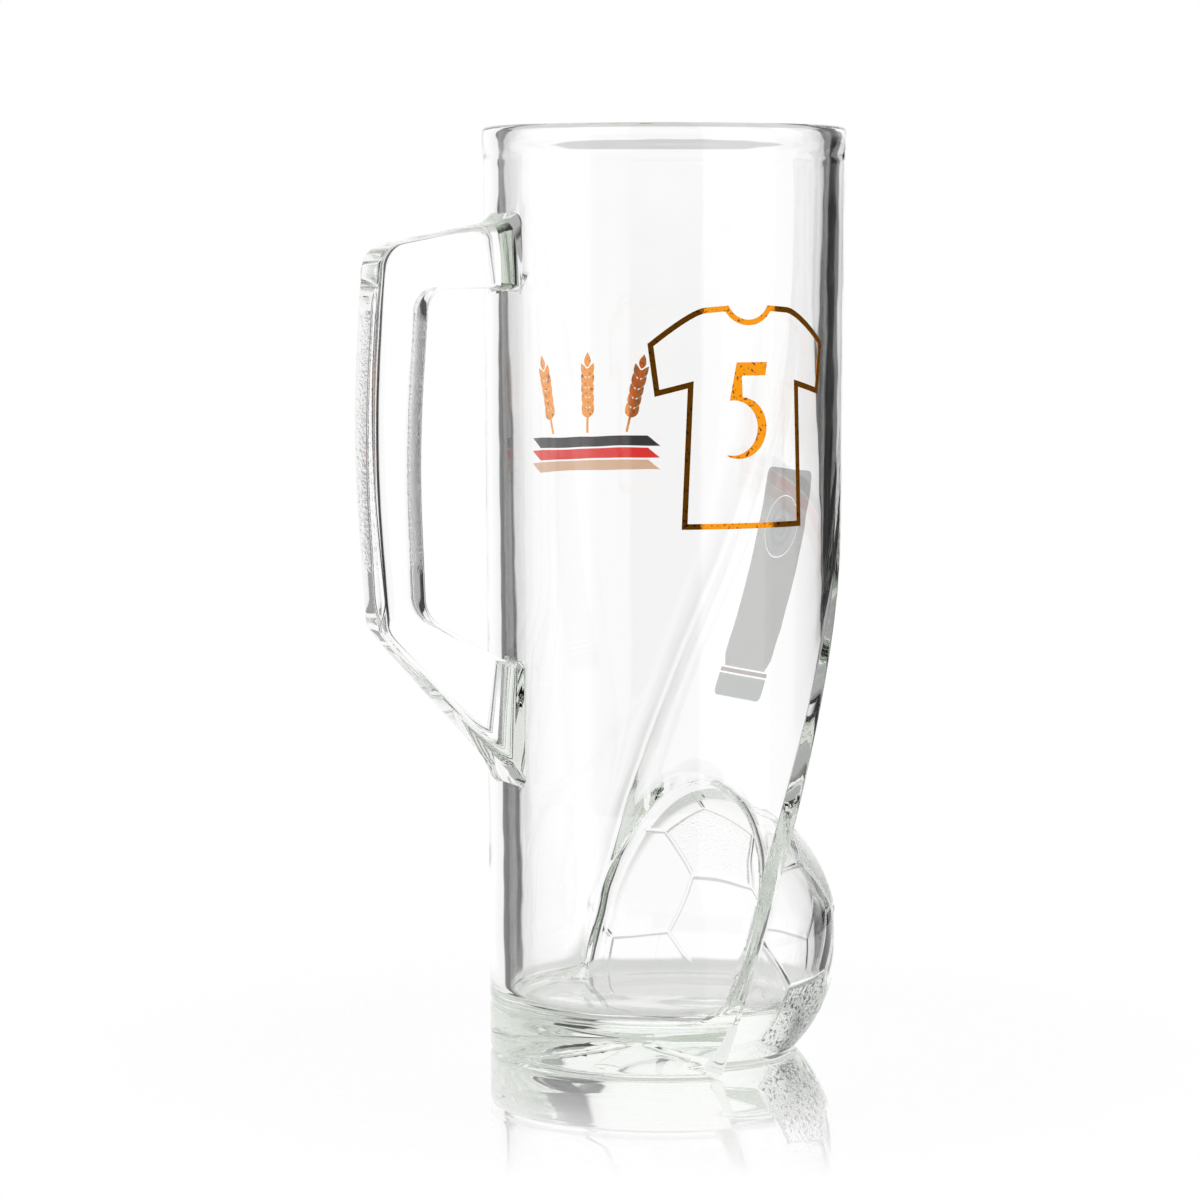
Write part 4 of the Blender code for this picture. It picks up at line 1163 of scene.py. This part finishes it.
class MUG_OT_label(Operator):
    """Print the pale label on the facet"""

    bl_idname = "mug.label"
    bl_label = "Label"

    def execute(self, context):
        s, p = context.scene.mug_glass, context.scene.mug_prints
        place = on_facet(s)
        low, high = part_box("label_roundel")
        middle = (0.0, (low.z + high.z) / 2)
        window = circle(middle, p.roundel + p.roundel_gap, ROUND_STEPS)
        turn = np.linspace(0.0, 360.0, ROUND_STEPS, endpoint=False)
        outer = oblong_around(middle, turn, PANEL_HIGH.y, PANEL_LOW.z, PANEL_HIGH.z, p.label_round)
        mesh = film("pale_panel", window, outer, PANEL_POINTS, True, place, p)
        finish = enamel_finish("panel print", p.panel, p.label_cover)
        add_piece("pale_panel", mesh, finish, "label_panel", "label_panel")
        hole = circle(middle, p.roundel * 0.01, ROUND_STEPS)
        edge = circle(middle, p.roundel, ROUND_STEPS)
        mesh = film("roundel_disc", hole, edge, PANEL_POINTS, True, place, p)
        centre = (-float(facet_reach(s, middle[1])), 0.0, middle[1])
        add_piece("roundel_disc", mesh, roundel_finish(p, centre), "label_roundel", "label_roundel")
        for name, base in (("rule", p.rule), ("band", p.band)):
            low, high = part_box("label_" + name)
            under = np.array([(low.y, low.z), (high.y, low.z)])
            if name == "band":
                r = p.label_round
                left = arc((low.y + r, low.z + r), r, 180, 270, 6)
                right = arc((high.y - r, low.z + r), r, 270, 360, 6)
                under = np.concatenate([left, right])
            over = np.stack([under[:, 0], np.full(len(under), high.z)], axis=1)
            mesh = film("label_" + name, *paired(under, over, FILM_STEP), LINE_POINTS, False, place, p)
            finish = enamel_finish(name + " print", base, p.label_cover)
            add_piece("printed_" + name, mesh, finish, "label_" + name, "label_" + name)
        return {"FINISHED"}


class MUG_OT_stage(Operator):
    """Set up the camera, the white surroundings and the floor"""

    bl_idname = "mug.stage"
    bl_label = "Stage"

    def execute(self, context):
        c = context.scene.mug_stage
        scene = context.scene
        scene.view_settings.view_transform = "Standard"
        scene.cycles.max_bounces = 64
        scene.cycles.transmission_bounces = 64
        scene.cycles.glossy_bounces = 48
        lens = bpy.data.cameras.new("camera")
        lens.lens = c.lens
        lens.sensor_width = 36.0
        lens.clip_start = 0.01
        camera = bpy.data.objects.new("camera", lens)
        camera.location = (c.distance * math.sin(c.azimuth), -c.distance * math.cos(c.azimuth), c.eye_height)
        camera.rotation_euler = (math.pi / 2 - c.pitch, 0.0, c.azimuth - c.yaw)
        scene.collection.objects.link(camera)
        scene.camera = camera
        surroundings(scene, c)
        floor(c)
        shade(c)
        return {"FINISHED"}


def mirrored_room(tree, heading, height):
    """What glass and gold mirror: bright sides, a dark card, and a dim room in front with one soft box to the
    right of the camera; white from just above eye level."""
    share = span(tree, heading, -math.pi, math.pi)
    room = ramp(tree, share, [((a + 180) / 360, v) for a, v in MIRRORED_ROOM])
    up = ramp(tree, height, [(0.0, 0.0), (0.005, 0.0), (0.04, 1.0)])
    return mixed(tree, up, room, grey(1.0))


def by_degrees(tree, wide, stops):
    """A ramp over the angle from straight behind the mug, in degrees up to 180."""
    return ramp(tree, wide, [(a / 180, v) for a, v in stops])


def through_two_walls(tree, c, heading, wide, height):
    """What shows through both of the mug's walls: a white wall that greys towards a dark card on each side, a
    slanted grey strip to the left, white above, and the grey of the table low down."""
    edge, end = math.degrees(c.card_edge), math.degrees(c.card_end)
    white = c.glass_white
    wall = [(0, white), (edge * 0.3, white), (edge * 0.75, 0.86 * white), (edge, 0.80 * white)]
    cards = [(edge + 0.7, CARD_DARK), (end, CARD_DARK), (end + 3, white)]
    seen = by_degrees(tree, wide, wall + cards)
    slant = maths(tree, "ADD", heading, maths(tree, "MULTIPLY_ADD", height, STRIP_LEAN, STRIP_HEADING))
    strip = span(tree, maths(tree, "ABSOLUTE", slant), 0.07, 0.10, 1.0, 0.0)
    seen = mixed(tree, strip, seen, grey(STRIP_GREY))
    seen = mixed(tree, span(tree, height, 0.10, 0.16), seen, grey(white))
    return mixed(tree, span(tree, height, -0.20, -0.29), seen, TABLE_GREY)


def through_one_wall(tree, c, heading, wide):
    """What shows through one wall or the handle: the same wall, cards that start further out to the left than
    to the right, and grey sides beyond them."""
    edge, end = c.near_edge, math.degrees(c.card_end)
    middle = [(0, 1.04), (14, 1.03)]
    sides = [(end + 5, CARD_DARK), (end + 8, c.side_grey), (75, c.side_grey), (80, 0.95)]
    left = by_degrees(tree, wide, [*middle, (28, 0.92), (edge, 0.88), (edge + 2, CARD_DARK), *sides])
    right = by_degrees(tree, wide, [*middle, (19, 0.90), (21, 0.03), *sides])
    return mixed(tree, maths(tree, "GREATER_THAN", heading, 0.0), left, right)


def surroundings(scene, c):
    """White seen directly. Through glass, the wall and the cards behind the mug, and in front of it a paled
    copy of the room that glass and gold mirror. An even grey for light that stays long in the glass or comes
    off a matt face. A direction is its heading from straight behind the mug and its height."""
    world = bpy.data.worlds.new("studio")
    scene.world = world
    world.use_nodes = True
    tree = world.node_tree
    look = node(tree, "TexCoord").outputs["Generated"]
    turned = node(tree, "Mapping", {"Vector": look, "Rotation": (0.0, 0.0, -c.azimuth)}, vector_type="POINT")
    axes = node(tree, "SeparateXYZ", {"Vector": turned.outputs["Vector"]}).outputs
    height = axes["Z"]
    heading = maths(tree, "ARCTAN2", axes["X"], axes["Y"])
    lift = span(tree, height, -0.06, 0.02, end=c.card_lift)
    aside = maths(tree, "SUBTRACT", maths(tree, "ABSOLUTE", heading), lift)
    wide = span(tree, aside, 0.0, math.pi)
    path = node(tree, "LightPath").outputs
    mirrored = mirrored_room(tree, heading, height)
    one_wall = through_one_wall(tree, c, heading, wide)
    two_walls = through_two_walls(tree, c, heading, wide, height)
    seen = mixed(tree, maths(tree, "GREATER_THAN", path["Transmission Depth"], ONE_WALL), one_wall, two_walls)
    pale = mixed(tree, 0.15, mirrored, grey(1.0))
    front = mixed(tree, span(tree, height, -0.03, 0.06), pale, grey(RAISED_GREY))
    seen = mixed(tree, span(tree, aside, 1.70, 1.80), seen, front)
    seen = mixed(tree, maths(tree, "GREATER_THAN", path["Ray Depth"], TRAPPED), seen, grey(TRAPPED_GREY))
    light = mixed(tree, path["Is Glossy Ray"], grey(ROOM_GREY), mirrored)
    light = mixed(tree, path["Is Transmission Ray"], light, seen)
    light = mixed(tree, maths(tree, "GREATER_THAN", path["Diffuse Depth"], 0.5), light, grey(MATT_GREY))
    light = mixed(tree, path["Is Camera Ray"], light, grey(1.0))
    fill(tree, tree.nodes["Background"], {"Color": light})


def matt_disc(name, radius, depth, base):
    """A flat round piece of the stage, at a depth under the table's height, in a matt finish."""
    mesh = bpy.data.meshes.new(name)
    edge = circle((0.0, 0.0), radius, DISC_STEPS)
    mesh.from_pydata([(x, y, -depth) for x, y in edge.tolist()], [], [list(range(len(edge)))])
    piece = bpy.data.objects.new(name, mesh)
    bpy.context.scene.collection.objects.link(piece)
    made, tree, shader, place = new_material(name)
    mesh.materials.append(made)
    values = {"Base Color": base, "Roughness": 1.0, "Specular IOR Level": 0.0, "Emission Color": grey(1.0)}
    fill(tree, shader, values)
    return piece, tree, shader, place


def shade(c):
    """A grey disc of painted shadow for the table under the mug, with a glow painted on it for the light that
    reaches it through the glass; it shows through the glass and nowhere else.
    """
    piece, tree, shader, place = matt_disc("shade", c.shade_radius, SHADE_DEPTH, c.shade_grey)
    piece.visible_camera = piece.visible_glossy = piece.visible_shadow = False
    # Painted light: the disc glows by itself for the light that would reach it through the glass
    fill(tree, shader, {"Emission Strength": c.painted_table_glow})


def floor(c):
    """A round white floor. It takes the mug's shadow, and close to the mug it is also a mirror, which fades
    with the distance from the axis."""
    piece, tree, shader, place = matt_disc("floor", c.floor_radius, FLOOR_DEPTH, c.floor_grey)
    piece.visible_transmission = False
    path = node(tree, "LightPath").outputs
    direct = maths(tree, "MAXIMUM", path["Is Camera Ray"], path["Is Glossy Ray"])
    direct = maths(tree, "MAXIMUM", direct, path["Is Transmission Ray"])
    fill(tree, shader, {"Emission Strength": maths(tree, "MULTIPLY", direct, c.floor_glow)})
    away = node(tree, "VectorMath", {0: place}, operation="LENGTH").outputs["Value"]
    fade = span(tree, away, c.shine_start, c.shine_end, c.shine, 0.0)
    mirror = node(tree, "BsdfGlossy", {"Color": grey(1.0), "Roughness": 0.0}).outputs["BSDF"]
    blend = node(tree, "MixShader", {0: fade, 1: shader.outputs["BSDF"], 2: mirror})
    fill(tree, tree.nodes["Material Output"], {"Surface": blend.outputs["Shader"]})


class MUG_PT_panel(Panel):
    """The mug's pieces, in the order they are made"""

    bl_idname = "MUG_PT_panel"
    bl_label = "Football beer mug"
    bl_space_type = "VIEW_3D"
    bl_region_type = "UI"
    bl_category = "Mug"

    def draw(self, context):
        for piece in PIECES:
            self.layout.operator(piece.bl_idname)


GROUPS = {"mug_glass": MugGlass, "mug_handle": MugHandle, "mug_prints": MugPrints, "mug_stage": MugStage}
PIECES = (MUG_OT_glass, MUG_OT_shirt, MUG_OT_ornament, MUG_OT_label, MUG_OT_stage)


def register():
    for made in (*GROUPS.values(), *PIECES, MUG_PT_panel):
        bpy.utils.register_class(made)
    for name, made in GROUPS.items():
        setattr(bpy.types.Scene, name, PointerProperty(type=made))


def unregister():
    for name in GROUPS:
        delattr(bpy.types.Scene, name)
    for made in (MUG_PT_panel, *reversed(PIECES), *reversed(GROUPS.values())):
        bpy.utils.unregister_class(made)


def main():
    register()
    for piece in PIECES:
        kind, name = piece.bl_idname.split(".")
        getattr(getattr(bpy.ops, kind), name)()


if __name__ == "__main__":
    main()
